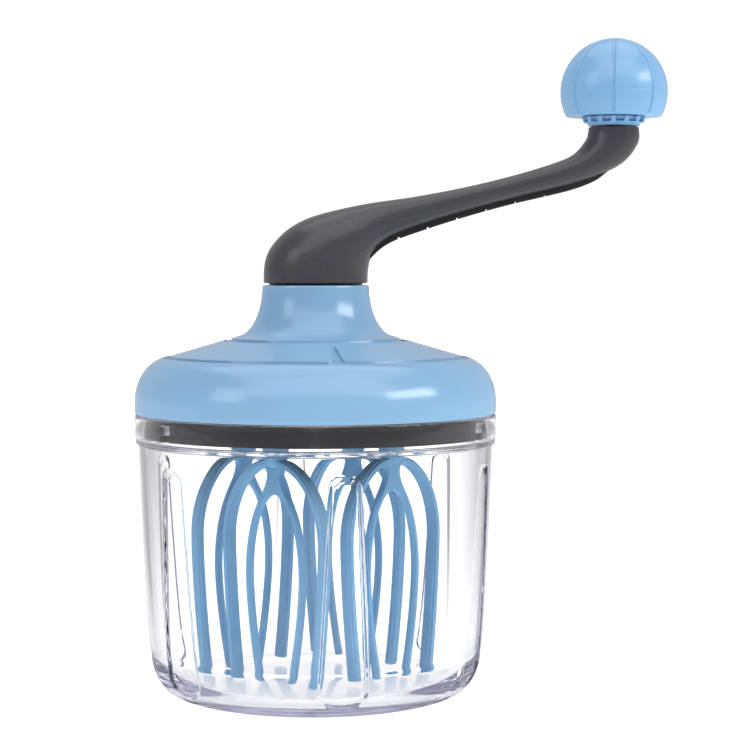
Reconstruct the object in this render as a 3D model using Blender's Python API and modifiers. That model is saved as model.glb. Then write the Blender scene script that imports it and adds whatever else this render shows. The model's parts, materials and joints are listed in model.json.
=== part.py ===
"""Hand-cranked egg beater: a clear bowl, a geared lid that turns four whisks, and a crank arm with a knob.

The origin is the centre of the bowl's underside, +Z is up, and the crank arm points along +X.
"""

import math

import bmesh
import bpy
import numpy as np
from mathutils import Matrix, Vector

MM = 0.001
GAP = 0.3 * MM  # between neighbouring solids
OVERSHOOT = 2 * MM  # how far a cutter reaches past the face that it opens
SHARP_ANGLE = math.radians(35)
LARGE_ROUND = 32  # facets of round shapes by their size
MIDDLE_ROUND = 24
SMALL_ROUND = 20
TINY_ROUND = 12
HEX = 6
CURVE_STEPS = 4  # between two points of a smooth line

# Bowl
BOWL_STEPS = 40
WALL_STEPS = 3
OUTER_CORNER_STEPS = 4
INNER_CORNER_STEPS = 3
COLLAR_RADIUS = 75.5 * MM
COLLAR_INNER_RADIUS = 72.3 * MM
COLLAR_TOP = 116.4 * MM
COLLAR_BOTTOM = 106.4 * MM
WALL_TOP_RADIUS = 74.2 * MM
WALL_LOW_RADIUS = 69.3 * MM
WALL_LOW = 17 * MM
WALL_BOW = 0.62  # exponent of the wall's flare: under 1 the wall is bowed outwards
WALL_THICKNESS = 2.7 * MM
FLOOR_THICKNESS = 4.8 * MM
BASE_RADIUS = 57.5 * MM
INNER_CORNER_RISE = 2 * MM  # of the inner corner over the outer one
BEAD_RADIUS = 75.2 * MM
BEAD_HEIGHT = 1.6 * MM
FLUTES = 6
FLUTE_FIRST = math.radians(-80)
FLUTE_CUTTER_RADIUS = 33 * MM
FLUTE_DEPTH = 1.1 * MM
FLUTE_LOW = 3 * MM  # of the cutter, whose rounded ends cut less
FLUTE_HIGH = 101 * MM
FLUTE_END_ROUNDING = FLUTE_CUTTER_RADIUS / 3
FLUTE_END_ANGLE = math.radians(60)
LUG_ANGLES = [math.radians(angle) for angle in (-144, -24, 96)]
LUG_WIDTH = 6 * MM
LUG_LOW = 110.4 * MM
LUG_HIGH = 114 * MM
LUG_TIP_RADIUS = 70.7 * MM

# Lid shell
LID_STEPS = 40
LID_BOTTOM = COLLAR_TOP + GAP
LID_WALL = 2.2 * MM
LID_RADIUS = 75.6 * MM
OUTER_ARC_STEPS = 5
INNER_ARC_STEPS = 3
NECK_RADIUS = 22.4 * MM
NECK_TOP = 169.9 * MM
FLARE_RADIUS = 33.5 * MM
FLARE_LOW = 148.6 * MM
FLARE_END = 265  # degrees round the flare's ellipse, just short of level
SHOULDER_RADIUS = 60 * MM
SHOULDER_HIGH = 140.4 * MM
SHOULDER_LOW = 122 * MM
SHOULDER_START = 88  # degrees round the shoulder's ellipse where the cone meets it
SHOULDER_SKIP = 8  # degrees left out of the shoulder just outside a ring groove
RING_GROOVES = (37.2 * MM, 62 * MM)
RING_GROOVE_WIDTH = 3.8 * MM
RING_GROOVE_DEPTH = 0.8 * MM
PADS = 3
PAD_CHANNEL_FIRST = math.radians(-79.5)
PAD_CHANNEL_WIDTH = 3 * MM
PAD_CHANNEL_SHARE = 0.9  # of the ring grooves' depth
CONE_SLOPE = (FLARE_LOW - SHOULDER_HIGH) / (SHOULDER_RADIUS - FLARE_RADIUS)
BUSH_TUBE_RADIUS = 13.5 * MM
BUSH_TUBE_LOW = 146 * MM

# Base plate, with the band that shows through the bowl's collar
PLATE_LOW = 107.5 * MM
PLATE_HIGH = 110.5 * MM
BAND_RADIUS = 71.6 * MM
BAND_INNER_RADIUS = 67.4 * MM
BAND_HIGH = 121 * MM
SLOT_DEPTH_RADIUS = 69.4 * MM
SLOT_SIDE_ROOM = 0.6 * MM
LOCK_ROOM = 0.45 * MM  # over and under a locked lug
LOCK_ANGLE = math.radians(15)
SCREW_RING_RADIUS = 57 * MM
POST_RADIUS = 4 * MM
BASE_SCREW_RADIUS = 1.5 * MM
BASE_SCREW_HEAD_RADIUS = 3.4 * MM
BASE_SCREW_HEAD_HEIGHT = 1.4 * MM
BASE_SCREW_TOP = 124 * MM
COUNTERBORE_DEPTH = 2 * MM

# Seal ring, on the bowl's rim inside the lid's edge
SEAL_INNER_RADIUS = BAND_RADIUS + GAP
SEAL_OUTER_RADIUS = 73.9 * MM
SEAL_HEIGHT = 1.8 * MM

# Gear train: one drive gear and four pinions
MODULE = 1.25 * MM
PRESSURE_ANGLE = math.radians(20)
DRIVE_TEETH = 40
PINION_TEETH = 16
TOOTH_ROOT = 1.25  # depth under the pitch circle, in modules
TOOTH_TIP = 0.95
BACKLASH = 0.35 * MM  # taken from each tooth's thickness at the pitch circle
GEAR_LOW = 116 * MM
GEAR_HIGH = 123 * MM
WHISKS = 4
WHISK_FIRST_ANGLE = math.radians(-26)
WHISK_PLANE_TURN = math.radians(74)
WHISK_RING_RADIUS = MODULE * (DRIVE_TEETH + PINION_TEETH) / 2
SPINDLE_RADIUS = 5.3 * MM
SPINDLE_LOW = PLATE_LOW + 0.2 * MM
SPINDLE_BOSS_RADIUS = 8.4 * MM
SPINDLE_BOSS_HIGH = GEAR_LOW - 0.5 * MM
TOP_PIN_RADIUS = 3 * MM
TOP_PIN_HIGH = 131 * MM
TOP_BOSS_RADIUS = 5.6 * MM
TOP_BOSS_LOW = GEAR_HIGH + 0.5 * MM
SOCKET_SIDE = 5.6 * MM
SOCKET_HIGH = 116.5 * MM

# Drive shaft and what holds the drive gear on it
SHAFT_HEX_RADIUS = 5.5 * MM
HEX_HOLE_RADIUS = SHAFT_HEX_RADIUS + 1.2 * GAP
SHAFT_LOW = GEAR_LOW + GAP
SHAFT_HIGH = 188 * MM
JOURNAL_RADIUS = 7 * MM
JOURNAL_LOW = 142 * MM
JOURNAL_HIGH = 170 * MM
BUSH_RADIUS = 10.2 * MM
BUSH_FLANGE_RADIUS = 12.8 * MM
BUSH_FLANGE_HEIGHT = 2 * MM
GEAR_WASHER_RADIUS = 8.5 * MM
GEAR_WASHER_THICKNESS = 1.4 * MM
GEAR_SCREW_RADIUS = 2.2 * MM
GEAR_SCREW_HEAD_RADIUS = 4.6 * MM
GEAR_SCREW_HEAD_HEIGHT = 2.4 * MM
GEAR_SCREW_HIGH = 130 * MM

# Crank arm: side contours as (x, z), upper from the hub to the knob, lower back again
HUB_RADIUS = 21.8 * MM
HUB_LOW = 170.6 * MM
KNOB_X = 124.3 * MM
ARM_END_RADIUS = 10.5 * MM
ARM_END_HIGH = 235.6 * MM
ARM_UPPER = ((-24, 170.6), (-22.4, 178.5), (-13, 192), (5, 200.3), (41.3, 206.5), (81.2, 215), (99, 220.3),
             (108, 224.8), (113, 231))
ARM_END_CORNER = (10 * MM, 9 * MM)  # half-axes of the ellipse that rounds the outer corner
ARM_END_CORNER_HIGH = 227.6 * MM
HUB_CORNER = (9 * MM, 10 * MM)  # and of the one between the hub and the arm's underside
HUB_CORNER_LOW = 177.2 * MM
HUB_SPAN = (46, 314)  # degrees of the plan that the hub's circle takes
HUB_STEPS = 30
ARM_TIP_STEPS = 12
ARM_END_INSET = 0.4 * MM  # of the arm's round tip inside its upright neck
SPINE_CONTOUR = ((118, 212.8), (109.7, 209.7), (82.4, 203), (58.4, 196.5), (36, 188.8), (27.5, 184.8))
SPINE_PROUD = 1.9 * MM
SPINE_DEPTH = 5 * MM
SPINE_WIDTH = 9 * MM
SPINE_SLOTS = 7
SPINE_SLOT_FIRST = 34.8 * MM
SPINE_SLOT_PITCH = 12.15 * MM
SPINE_SLOT_WIDTH = 0.9 * MM
SPINE_SLOT_DEPTH = 2.5 * MM
ARM_HALF_WIDTHS = ((30, 14.5), (42, 12), (60, 11.2), (95, 10.6))

# Knob and the pin that it turns on
KNOB_RADIUS = 22.3 * MM
KNOB_CENTRE_Z = 250.1 * MM
KNOB_CUT = 240 * MM
KNOB_CAVITY_RADIUS = 9 * MM
KNOB_CAVITY_HIGH = 258 * MM
KNOB_CAVITY_SIDE_HIGH = 255 * MM
BALL_ARC_STEPS = 10
COLLAR_RIBS = 20
KNOB_COLLAR_LOW = 237.4 * MM
KNOB_COLLAR_OUTER = 13.9 * MM
# radius, and share of the pitch between two ribs
COLLAR_RIB_POINTS = ((KNOB_COLLAR_OUTER, -0.25), (KNOB_COLLAR_OUTER, 0.25),
                     (KNOB_COLLAR_OUTER - MM, 0.325), (KNOB_COLLAR_OUTER - MM, 0.675))
KNOB_COLLAR_STEP = 10.8 * MM
KNOB_COLLAR_FOOT = 236.1 * MM
KNOB_PIN_RADIUS = 4 * MM
KNOB_PIN_LOW = 221 * MM
KNOB_PIN_HIGH = 244.2 * MM
KNOB_WASHER_RADIUS = 7.4 * MM
KNOB_WASHER_THICKNESS = 1.4 * MM
KNOB_SCREW_RADIUS = 1.6 * MM
KNOB_SCREW_HEAD_RADIUS = 3.4 * MM
KNOB_SCREW_HEAD_HEIGHT = 2.2 * MM
KNOB_SCREW_LOW = 232 * MM

# Whisks: arches as half-widths and heights, in the whisk's own plane
WHISK_TIP = 7 * MM
STUB_LOW = 100.5 * MM
STUB_HIGH = PLATE_LOW - GAP
STUB_RADIUS = 5.3 * MM
PEG_SIDE = SOCKET_SIDE - 2 * GAP
PEG_HIGH = SOCKET_HIGH - 2 * GAP
POST_WIDTH = 7.6 * MM
POST_THICKNESS = 3.6 * MM
OUTER_ARCH = {"crown": 98.7 * MM, "spring": 66 * MM, "spread": 27 * MM, "foot": 22 * MM,
              "width": 3.5 * MM, "thickness": 5.8 * MM}
INNER_ARCH = {"crown": 86.8 * MM, "spring": 52 * MM, "spread": 15 * MM, "foot": 8.5 * MM,
              "width": 2.9 * MM, "thickness": 3.2 * MM}
LEG_STEPS = 3
ARCH_STEPS = 14
LEG_CURVE = 1.6  # exponent of a leg's inward bend below the arch

COLORS = {
    "clear": ((0.86, 0.87, 0.92, 1), 0.05, 0),
    "lid_blue": ((0.34, 0.55, 0.82, 1), 0.3, 0),
    "whisk_blue": ((0.2, 0.42, 0.72, 1), 0.35, 0),
    "dark_grey": ((0.075, 0.072, 0.078, 1), 0.35, 0),
    "white_nylon": ((0.8, 0.79, 0.75, 1), 0.5, 0),
    "steel": ((0.6, 0.6, 0.6, 1), 0.3, 1),
    "silicone": ((0.75, 0.75, 0.75, 1), 0.6, 0),
}


# ---------------------------------------------------------------- scene and materials


def clear_scene():
    for obj in list(bpy.data.objects):
        bpy.data.objects.remove(obj)


def new_collection(name):
    collection = bpy.data.collections.new(name)
    bpy.context.scene.collection.children.link(collection)
    return collection


def new_material(name, finish):
    color, roughness, metallic = COLORS[finish]
    material = bpy.data.materials.new(name)
    material.use_nodes = True
    shader = material.node_tree.nodes["Principled BSDF"]
    shader.inputs["Base Color"].default_value = color
    shader.inputs["Roughness"].default_value = roughness
    shader.inputs["Metallic"].default_value = metallic
    material.diffuse_color = color
    return material


def finish_part(obj, name, finish):
    """Names a part, gives it its own material and moves it to the parts' collection."""
    obj.name = name
    obj.data.name = name
    obj.data.materials.clear()
    obj.data.materials.append(new_material(name, finish))
    if obj.data.polygons:
        obj.data.shade_smooth()
        obj.data.set_sharp_from_angle(angle=SHARP_ANGLE)
    for collection in list(obj.users_collection):
        collection.objects.unlink(obj)
    PARTS.objects.link(obj)
    return obj


def as_cutter(obj, name):
    obj.name = name
    obj.hide_render = True
    obj.display_type = "WIRE"
    for collection in list(obj.users_collection):
        collection.objects.unlink(obj)
    CUTTERS.objects.link(obj)
    return obj


# ---------------------------------------------------------------- shapes


def mesh_object(name, bm):
    mesh = bpy.data.meshes.new(name)
    bm.to_mesh(mesh)
    bm.free()
    obj = bpy.data.objects.new(name, mesh)
    bpy.context.scene.collection.objects.link(obj)
    return obj


def add_cylinder(bm, radius, low, high, at=(0, 0), segments=LARGE_ROUND):
    place = Matrix.Translation((at[0], at[1], (low + high) / 2))
    bmesh.ops.create_cone(bm, cap_ends=True, segments=segments, radius1=radius, radius2=radius,
                          depth=high - low, matrix=place)


def add_box(bm, size, centre, turn=0.0):
    place = Matrix.Translation(centre) @ Matrix.Rotation(turn, 4, "Z") @ Matrix.Diagonal((*size, 1))
    bmesh.ops.create_cube(bm, size=1, matrix=place)


def cylinder(name, radius, low, high, **options):
    bm = bmesh.new()
    add_cylinder(bm, radius, low, high, **options)
    return mesh_object(name, bm)


def turned(name, profile, steps):
    """A turned solid. The profile is (radius, height) points down the outer side, closed if off the axis."""
    closed = profile[0][0] > 0
    bm = bmesh.new()
    points = [bm.verts.new((radius, 0, height)) for radius, height in profile]
    for first, second in zip(points, points[1:]):
        bm.edges.new((first, second))
    if closed:
        bm.edges.new((points[-1], points[0]))
    obj = mesh_object(name, bm)
    screw = obj.modifiers.new("Turn", "SCREW")
    screw.axis = "Z"
    screw.steps = steps
    screw.render_steps = steps
    screw.use_merge_vertices = True
    screw.merge_threshold = 0.01 * MM
    screw.use_smooth_shade = True
    return obj


def plate(name, outline, low, high, upright=False):
    """A flat outline extruded: along Z between two heights, or along Y when the outline is (x, z)."""
    curve = bpy.data.curves.new(name, "CURVE")
    curve.dimensions = "2D"
    curve.fill_mode = "BOTH"
    curve.extrude = (high - low) / 2
    spline = curve.splines.new("POLY")
    spline.points.add(len(outline) - 1)
    for point, (x, y) in zip(spline.points, outline):
        point.co = (x, y, 0, 1)
    spline.use_cyclic_u = True
    guide = bpy.data.objects.new(name, curve)
    bpy.context.scene.collection.objects.link(guide)
    middle = (low + high) / 2
    if upright:
        guide.matrix_world = Matrix.Translation((0, middle, 0)) @ Matrix.Rotation(math.pi / 2, 4, "X")
    else:
        guide.matrix_world = Matrix.Translation((0, 0, middle))
    bpy.context.view_layer.update()
    obj = baked(guide, name)
    bpy.data.objects.remove(guide)
    return obj


def baked(source, name):
    """A plain mesh copy of an object as its modifiers or its curve make it, with its place in the mesh."""
    graph = bpy.context.evaluated_depsgraph_get()
    mesh = bpy.data.meshes.new_from_object(source.evaluated_get(graph))
    mesh.transform(source.matrix_world)
    bm = bmesh.new()
    bm.from_mesh(mesh)
    bmesh.ops.remove_doubles(bm, verts=bm.verts, dist=0.001 * MM)
    bmesh.ops.recalc_face_normals(bm, faces=bm.faces)
    bm.to_mesh(mesh)
    bm.free()
    obj = bpy.data.objects.new(name, mesh)
    bpy.context.scene.collection.objects.link(obj)
    return obj


def settled(source, name):
    """The baked mesh of an object with Booleans; the object and what its Booleans used are removed."""
    bpy.context.view_layer.update()
    obj = baked(source, name)
    for modifier in source.modifiers:
        bpy.data.objects.remove(modifier.object)
    bpy.data.objects.remove(source)
    return obj


def combine(target, other, operation="DIFFERENCE"):
    as_cutter(other, other.name)
    boolean = target.modifiers.new(other.name, "BOOLEAN")
    boolean.operation = operation
    boolean.solver = "EXACT"
    boolean.object = other
    return target


def polar(radius, angle):
    return radius * math.cos(angle), radius * math.sin(angle)


def around(count, first=0.0):
    return [first + 2 * math.pi * k / count for k in range(count)]


def ellipse_arc(centre, radii, start, end, steps):
    """Points on an ellipse between two angles in degrees, both ends included."""
    angles = np.radians(np.linspace(start, end, steps + 1))
    return [(centre[0] + radii[0] * math.cos(a), centre[1] + radii[1] * math.sin(a)) for a in angles]


def smooth(points, steps):
    """A Catmull-Rom curve through the points, given in millimetres, as points in metres."""
    ends = [points[0], *points, points[-1]]
    curve = []
    for k in range(len(points) - 1):
        a, b, c, d = (Vector(point) for point in ends[k : k + 4])
        for t in (step / steps for step in range(steps)):
            middle = 2 * b + (c - a) * t + (2 * a - 5 * b + 4 * c - d) * t**2 + (3 * b - a - 3 * c + d) * t**3
            curve.append((middle.x * MM / 2, middle.y * MM / 2))
    return [*curve, (points[-1][0] * MM, points[-1][1] * MM)]


# ---------------------------------------------------------------- bowl


def wall_radius(height):
    climb = (height - WALL_LOW) / (COLLAR_BOTTOM - WALL_LOW)
    return WALL_LOW_RADIUS + (WALL_TOP_RADIUS - WALL_LOW_RADIUS) * climb**WALL_BOW


def make_bowl():
    wall_heights = np.linspace(COLLAR_BOTTOM - BEAD_HEIGHT, WALL_LOW, WALL_STEPS + 1)[:-1]
    corner = (WALL_LOW_RADIUS - BASE_RADIUS, WALL_LOW)
    inner_low = WALL_LOW + INNER_CORNER_RISE
    inner_low_radius = wall_radius(inner_low) - WALL_THICKNESS
    inner_corner = (corner[0], inner_low - FLOOR_THICKNESS)
    inner_centre = (inner_low_radius - inner_corner[0], inner_low)
    outside = [
        (COLLAR_RADIUS, COLLAR_TOP),
        (COLLAR_RADIUS, COLLAR_BOTTOM),
        (BEAD_RADIUS, COLLAR_BOTTOM - BEAD_HEIGHT / 2),
        *[(wall_radius(height), height) for height in wall_heights],
        *ellipse_arc((BASE_RADIUS, WALL_LOW), corner, 0, -90, OUTER_CORNER_STEPS),
        (0, 0),
    ]
    inside = [
        (0, FLOOR_THICKNESS),
        *ellipse_arc(inner_centre, inner_corner, -90, 0, INNER_CORNER_STEPS),
        *[(wall_radius(height) - WALL_THICKNESS, height) for height in wall_heights[::-1]],
        (COLLAR_INNER_RADIUS, COLLAR_BOTTOM),
        (COLLAR_INNER_RADIUS, COLLAR_TOP + OVERSHOOT),
        (0, COLLAR_TOP + OVERSHOOT),
    ]
    bowl = turned("bowl", [(0, COLLAR_TOP), *outside], BOWL_STEPS)
    hollow = turned("bowl_hollow", inside[::-1], BOWL_STEPS)
    lugs = bmesh.new()
    for angle in LUG_ANGLES:
        reach = COLLAR_INNER_RADIUS + OVERSHOOT / 2 - LUG_TIP_RADIUS
        centre = (*polar(LUG_TIP_RADIUS + reach / 2, angle), (LUG_LOW + LUG_HIGH) / 2)
        add_box(lugs, (reach, LUG_WIDTH, LUG_HIGH - LUG_LOW), centre, angle)
    combine(hollow, mesh_object("bowl_lugs", lugs))
    combine(bowl, hollow)
    combine(bowl, make_flute_cutters())
    return finish_part(bowl, "bowl", "clear")


def make_flute_cutters():
    """Leaning round bars with rounded ends, side by side with the wall."""
    bm = bmesh.new()
    length = FLUTE_HIGH - FLUTE_LOW
    lean = math.atan2(wall_radius(FLUTE_HIGH) - wall_radius(WALL_LOW), FLUTE_HIGH - WALL_LOW)
    middle = (FLUTE_HIGH + FLUTE_LOW) / 2
    for angle in around(FLUTES, FLUTE_FIRST):
        x, y = polar(wall_radius(middle) + FLUTE_CUTTER_RADIUS - FLUTE_DEPTH, angle)
        turn = Matrix.Rotation(angle, 4, "Z") @ Matrix.Rotation(lean, 4, "Y")
        bmesh.ops.create_cone(bm, cap_ends=True, segments=MIDDLE_ROUND, radius1=FLUTE_CUTTER_RADIUS,
                              radius2=FLUTE_CUTTER_RADIUS, depth=length,
                              matrix=Matrix.Translation((x, y, middle)) @ turn)
    cutter = mesh_object("bowl_flutes", bm)
    bevel = cutter.modifiers.new("Round ends", "BEVEL")
    bevel.width = FLUTE_END_ROUNDING
    bevel.segments = 2
    bevel.angle_limit = FLUTE_END_ANGLE
    return cutter


# ---------------------------------------------------------------- lid


def lid_height(radius):
    """The lid's outer height on the shallow cone and the round shoulder outside its neck."""
    if radius > SHOULDER_RADIUS:
        part = (radius - SHOULDER_RADIUS) / (LID_RADIUS - SHOULDER_RADIUS)
        return SHOULDER_LOW + (SHOULDER_HIGH - SHOULDER_LOW) * math.sqrt(1 - part**2)
    return FLARE_LOW - CONE_SLOPE * (radius - FLARE_RADIUS)


def groove_outline(middle):
    """Four points down a ring groove, from its inner edge to its outer one."""
    near = middle - RING_GROOVE_WIDTH / 2
    far = middle + RING_GROOVE_WIDTH / 2
    slope = RING_GROOVE_DEPTH / 2
    return [(near, lid_height(near)), (near + slope, lid_height(near) - RING_GROOVE_DEPTH),
            (far - slope, lid_height(far) - RING_GROOVE_DEPTH), (far, lid_height(far))]


def lid_outline(inset):
    """The lid's outline from the neck down, moved in from the outer face by inset."""
    flare = (FLARE_RADIUS - NECK_RADIUS + inset, NECK_TOP - FLARE_LOW + inset)
    shoulder = (LID_RADIUS - SHOULDER_RADIUS - inset, SHOULDER_HIGH - SHOULDER_LOW - inset)
    arc_steps = INNER_ARC_STEPS if inset else OUTER_ARC_STEPS
    outline = ellipse_arc((FLARE_RADIUS, NECK_TOP), flare, 180, FLARE_END, arc_steps)
    start = SHOULDER_START
    if not inset:
        outline += [point for middle in RING_GROOVES for point in groove_outline(middle)]
        start = math.degrees(math.acos((outline[-1][0] - SHOULDER_RADIUS) / shoulder[0])) - SHOULDER_SKIP
    outline += ellipse_arc((SHOULDER_RADIUS, SHOULDER_LOW), shoulder, start, 0, arc_steps)
    outline.append((LID_RADIUS - inset, LID_BOTTOM))
    return outline


def make_pad_channels():
    """Shallow radial channels between the two ring grooves, which leave the raised pads."""
    bm = bmesh.new()
    length = RING_GROOVES[1] - RING_GROOVES[0]
    middle = sum(RING_GROOVES) / 2
    size = Matrix.Diagonal((length, PAD_CHANNEL_WIDTH, 2 * RING_GROOVE_DEPTH * PAD_CHANNEL_SHARE, 1))
    for angle in around(PADS, PAD_CHANNEL_FIRST):
        place = Matrix.Rotation(angle, 4, "Z") @ Matrix.Translation((middle, 0, lid_height(middle)))
        slope = Matrix.Rotation(math.atan(CONE_SLOPE), 4, "Y")
        bmesh.ops.create_cube(bm, size=1, matrix=place @ slope @ size)
    return mesh_object("pad_channels", bm)


def screw_angles():
    return around(WHISKS, WHISK_FIRST_ANGLE + math.pi / WHISKS)


def whisk_angles():
    return around(WHISKS, WHISK_FIRST_ANGLE)


def make_lid_shell():
    shell = turned("lid_shell", [(0, NECK_TOP), *lid_outline(0), (0, LID_BOTTOM)], LID_STEPS)
    cavity_top = NECK_TOP - LID_WALL
    cavity_outline = [point for point in lid_outline(LID_WALL) if point[1] < cavity_top]
    cavity_outline[-1] = (cavity_outline[-1][0], LID_BOTTOM - OVERSHOOT)
    neck_inner = NECK_RADIUS - LID_WALL
    cavity = turned("lid_cavity", [(0, cavity_top), (neck_inner, cavity_top), *cavity_outline,
                                   (0, LID_BOTTOM - OVERSHOOT)], LID_STEPS)
    posts = bmesh.new()
    holes = bmesh.new()
    add_cylinder(posts, BUSH_TUBE_RADIUS, BUSH_TUBE_LOW, NECK_TOP)
    add_cylinder(holes, BUSH_RADIUS + GAP, BUSH_TUBE_LOW - OVERSHOOT, NECK_TOP + OVERSHOOT)
    for angle in screw_angles():
        at = polar(SCREW_RING_RADIUS, angle)
        add_cylinder(posts, POST_RADIUS, LID_BOTTOM - OVERSHOOT, SHOULDER_HIGH, at=at, segments=TINY_ROUND)
        add_cylinder(holes, BASE_SCREW_RADIUS + GAP, PLATE_LOW, BASE_SCREW_TOP + GAP, at=at,
                     segments=TINY_ROUND)
    for angle in whisk_angles():
        at = polar(WHISK_RING_RADIUS, angle)
        add_cylinder(posts, TOP_BOSS_RADIUS, TOP_BOSS_LOW, NECK_TOP, at=at, segments=SMALL_ROUND)
        add_cylinder(holes, TOP_PIN_RADIUS + GAP, GEAR_LOW, TOP_PIN_HIGH + 2 * GAP, at=at,
                     segments=SMALL_ROUND)
    combine(cavity, mesh_object("lid_posts", posts))
    combine(shell, cavity)
    combine(shell, mesh_object("lid_holes", holes))
    rebate = turned("lid_rebate", [(SEAL_OUTER_RADIUS + GAP, LID_BOTTOM + SEAL_HEIGHT + GAP),
                                   (SEAL_OUTER_RADIUS + GAP, LID_BOTTOM - OVERSHOOT),
                                   (SEAL_INNER_RADIUS, LID_BOTTOM - OVERSHOOT),
                                   (SEAL_INNER_RADIUS, LID_BOTTOM + SEAL_HEIGHT + GAP)], LID_STEPS)
    combine(shell, rebate)
    combine(shell, make_pad_channels())
    return finish_part(shell, "lid_shell", "lid_blue")


def make_base_plate():
    body = cylinder("base_plate", BAND_RADIUS, PLATE_LOW, BAND_HIGH, segments=LID_STEPS)
    inside = cylinder("plate_inside", BAND_INNER_RADIUS, PLATE_HIGH, BAND_HIGH + OVERSHOOT,
                      segments=LID_STEPS)
    bosses = bmesh.new()
    holes = bmesh.new()
    for angle in whisk_angles():
        at = polar(WHISK_RING_RADIUS, angle)
        add_cylinder(bosses, SPINDLE_BOSS_RADIUS, PLATE_LOW, SPINDLE_BOSS_HIGH, at=at, segments=SMALL_ROUND)
        add_cylinder(holes, SPINDLE_RADIUS + GAP, PLATE_LOW - OVERSHOOT, SPINDLE_BOSS_HIGH + OVERSHOOT, at=at,
                     segments=SMALL_ROUND)
    for angle in screw_angles():
        at = polar(SCREW_RING_RADIUS, angle)
        add_cylinder(bosses, POST_RADIUS, PLATE_LOW, LID_BOTTOM - GAP, at=at, segments=TINY_ROUND)
    combine(inside, mesh_object("plate_bosses", bosses))
    combine(body, inside)
    combine(body, mesh_object("plate_holes", holes))
    screws = bmesh.new()
    heads = bmesh.new()
    for angle in screw_angles():
        at = polar(SCREW_RING_RADIUS, angle)
        add_cylinder(screws, BASE_SCREW_RADIUS + GAP, PLATE_LOW - OVERSHOOT, LID_BOTTOM + OVERSHOOT, at=at,
                     segments=TINY_ROUND)
        add_cylinder(heads, BASE_SCREW_HEAD_RADIUS + GAP, PLATE_LOW - OVERSHOOT,
                     PLATE_LOW + COUNTERBORE_DEPTH, at=at, segments=TINY_ROUND)
    combine(body, mesh_object("plate_screw_holes", screws))
    combine(body, mesh_object("plate_counterbores", heads))
    combine(body, make_entry_cutters())
    combine(body, make_lock_cutters())
    return finish_part(body, "base_plate", "dark_grey")


def make_entry_cutters():
    """The upright half of each bayonet slot, open at the band's lower edge."""
    bm = bmesh.new()
    for angle in LUG_ANGLES:
        depth = BAND_RADIUS + OVERSHOOT - SLOT_DEPTH_RADIUS
        low = PLATE_LOW - OVERSHOOT
        high = LUG_HIGH + SLOT_SIDE_ROOM
        centre = (*polar(SLOT_DEPTH_RADIUS + depth / 2, angle), (low + high) / 2)
        add_box(bm, (depth, LUG_WIDTH + 2 * SLOT_SIDE_ROOM, high - low), centre, angle)
    return mesh_object("entry_slots", bm)


def make_lock_cutters():
    """The level half of each bayonet slot, where the lugs lie when the lid is turned tight."""
    bm = bmesh.new()
    for angle in LUG_ANGLES:
        depth = BAND_RADIUS + OVERSHOOT - SLOT_DEPTH_RADIUS
        length = 2 * BAND_RADIUS * math.sin(LOCK_ANGLE / 2) + LUG_WIDTH + 2 * SLOT_SIDE_ROOM
        middle = angle + LOCK_ANGLE / 2
        height = LUG_HIGH - LUG_LOW + 2 * LOCK_ROOM
        centre = (*polar(SLOT_DEPTH_RADIUS + depth / 2, middle), (LUG_LOW + LUG_HIGH) / 2)
        add_box(bm, (depth, length, height), centre, middle)
    return mesh_object("lock_slots", bm)


def make_seal():
    low = LID_BOTTOM
    high = LID_BOTTOM + SEAL_HEIGHT
    profile = [(SEAL_OUTER_RADIUS, high), (SEAL_OUTER_RADIUS, low), (SEAL_INNER_RADIUS, low),
               (SEAL_INNER_RADIUS, high)]
    return finish_part(turned("lid_seal", profile, LID_STEPS), "lid_seal", "silicone")


def make_bush():
    flange_high = BUSH_TUBE_LOW - GAP
    flange_low = flange_high - BUSH_FLANGE_HEIGHT
    profile = [(BUSH_RADIUS, NECK_TOP - GAP), (BUSH_RADIUS, flange_high), (BUSH_FLANGE_RADIUS, flange_high),
               (BUSH_FLANGE_RADIUS, flange_low), (JOURNAL_RADIUS + GAP, flange_low),
               (JOURNAL_RADIUS + GAP, NECK_TOP - GAP)]
    return finish_part(turned("shaft_bush", profile, MIDDLE_ROUND), "shaft_bush", "white_nylon")


def make_base_screws():
    low = PLATE_LOW + GAP
    head_high = low + BASE_SCREW_HEAD_HEIGHT
    profile = [(0, BASE_SCREW_TOP), (BASE_SCREW_RADIUS, BASE_SCREW_TOP - MM), (BASE_SCREW_RADIUS, head_high),
               (BASE_SCREW_HEAD_RADIUS, head_high), (BASE_SCREW_HEAD_RADIUS, low), (0, low)]
    for number, angle in enumerate(screw_angles(), 1):
        screw = turned(f"base_screw_{number}", profile, TINY_ROUND)
        screw.location = (*polar(SCREW_RING_RADIUS, angle), 0)
        finish_part(screw, f"base_screw_{number}", "steel")


# ---------------------------------------------------------------- gears


def tooth_half_angle(radius, teeth):
    """Half the angle that a tooth spans at a radius, on an involute flank."""
    pitch = MODULE * teeth / 2
    base = pitch * math.cos(PRESSURE_ANGLE)
    turn = math.acos(min(1, base / radius))
    involute = math.tan(turn) - turn
    at_pitch = math.tan(PRESSURE_ANGLE) - PRESSURE_ANGLE
    return math.pi / (2 * teeth) - BACKLASH / (2 * pitch) + at_pitch - involute


def gear_outline(teeth, turn):
    """A spur gear's outline with a tooth centred on the angle turn."""
    pitch = MODULE * teeth / 2
    base = pitch * math.cos(PRESSURE_ANGLE)
    root = pitch - TOOTH_ROOT * MODULE
    tip = pitch + TOOTH_TIP * MODULE
    flank = [(radius, tooth_half_angle(max(radius, base), teeth)) for radius in (root, pitch, tip)]
    outline = []
    for middle in around(teeth, turn):
        outline += [polar(radius, middle - half) for radius, half in flank]
        outline += [polar(radius, middle + half) for radius, half in flank[::-1]]
    return outline


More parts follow.
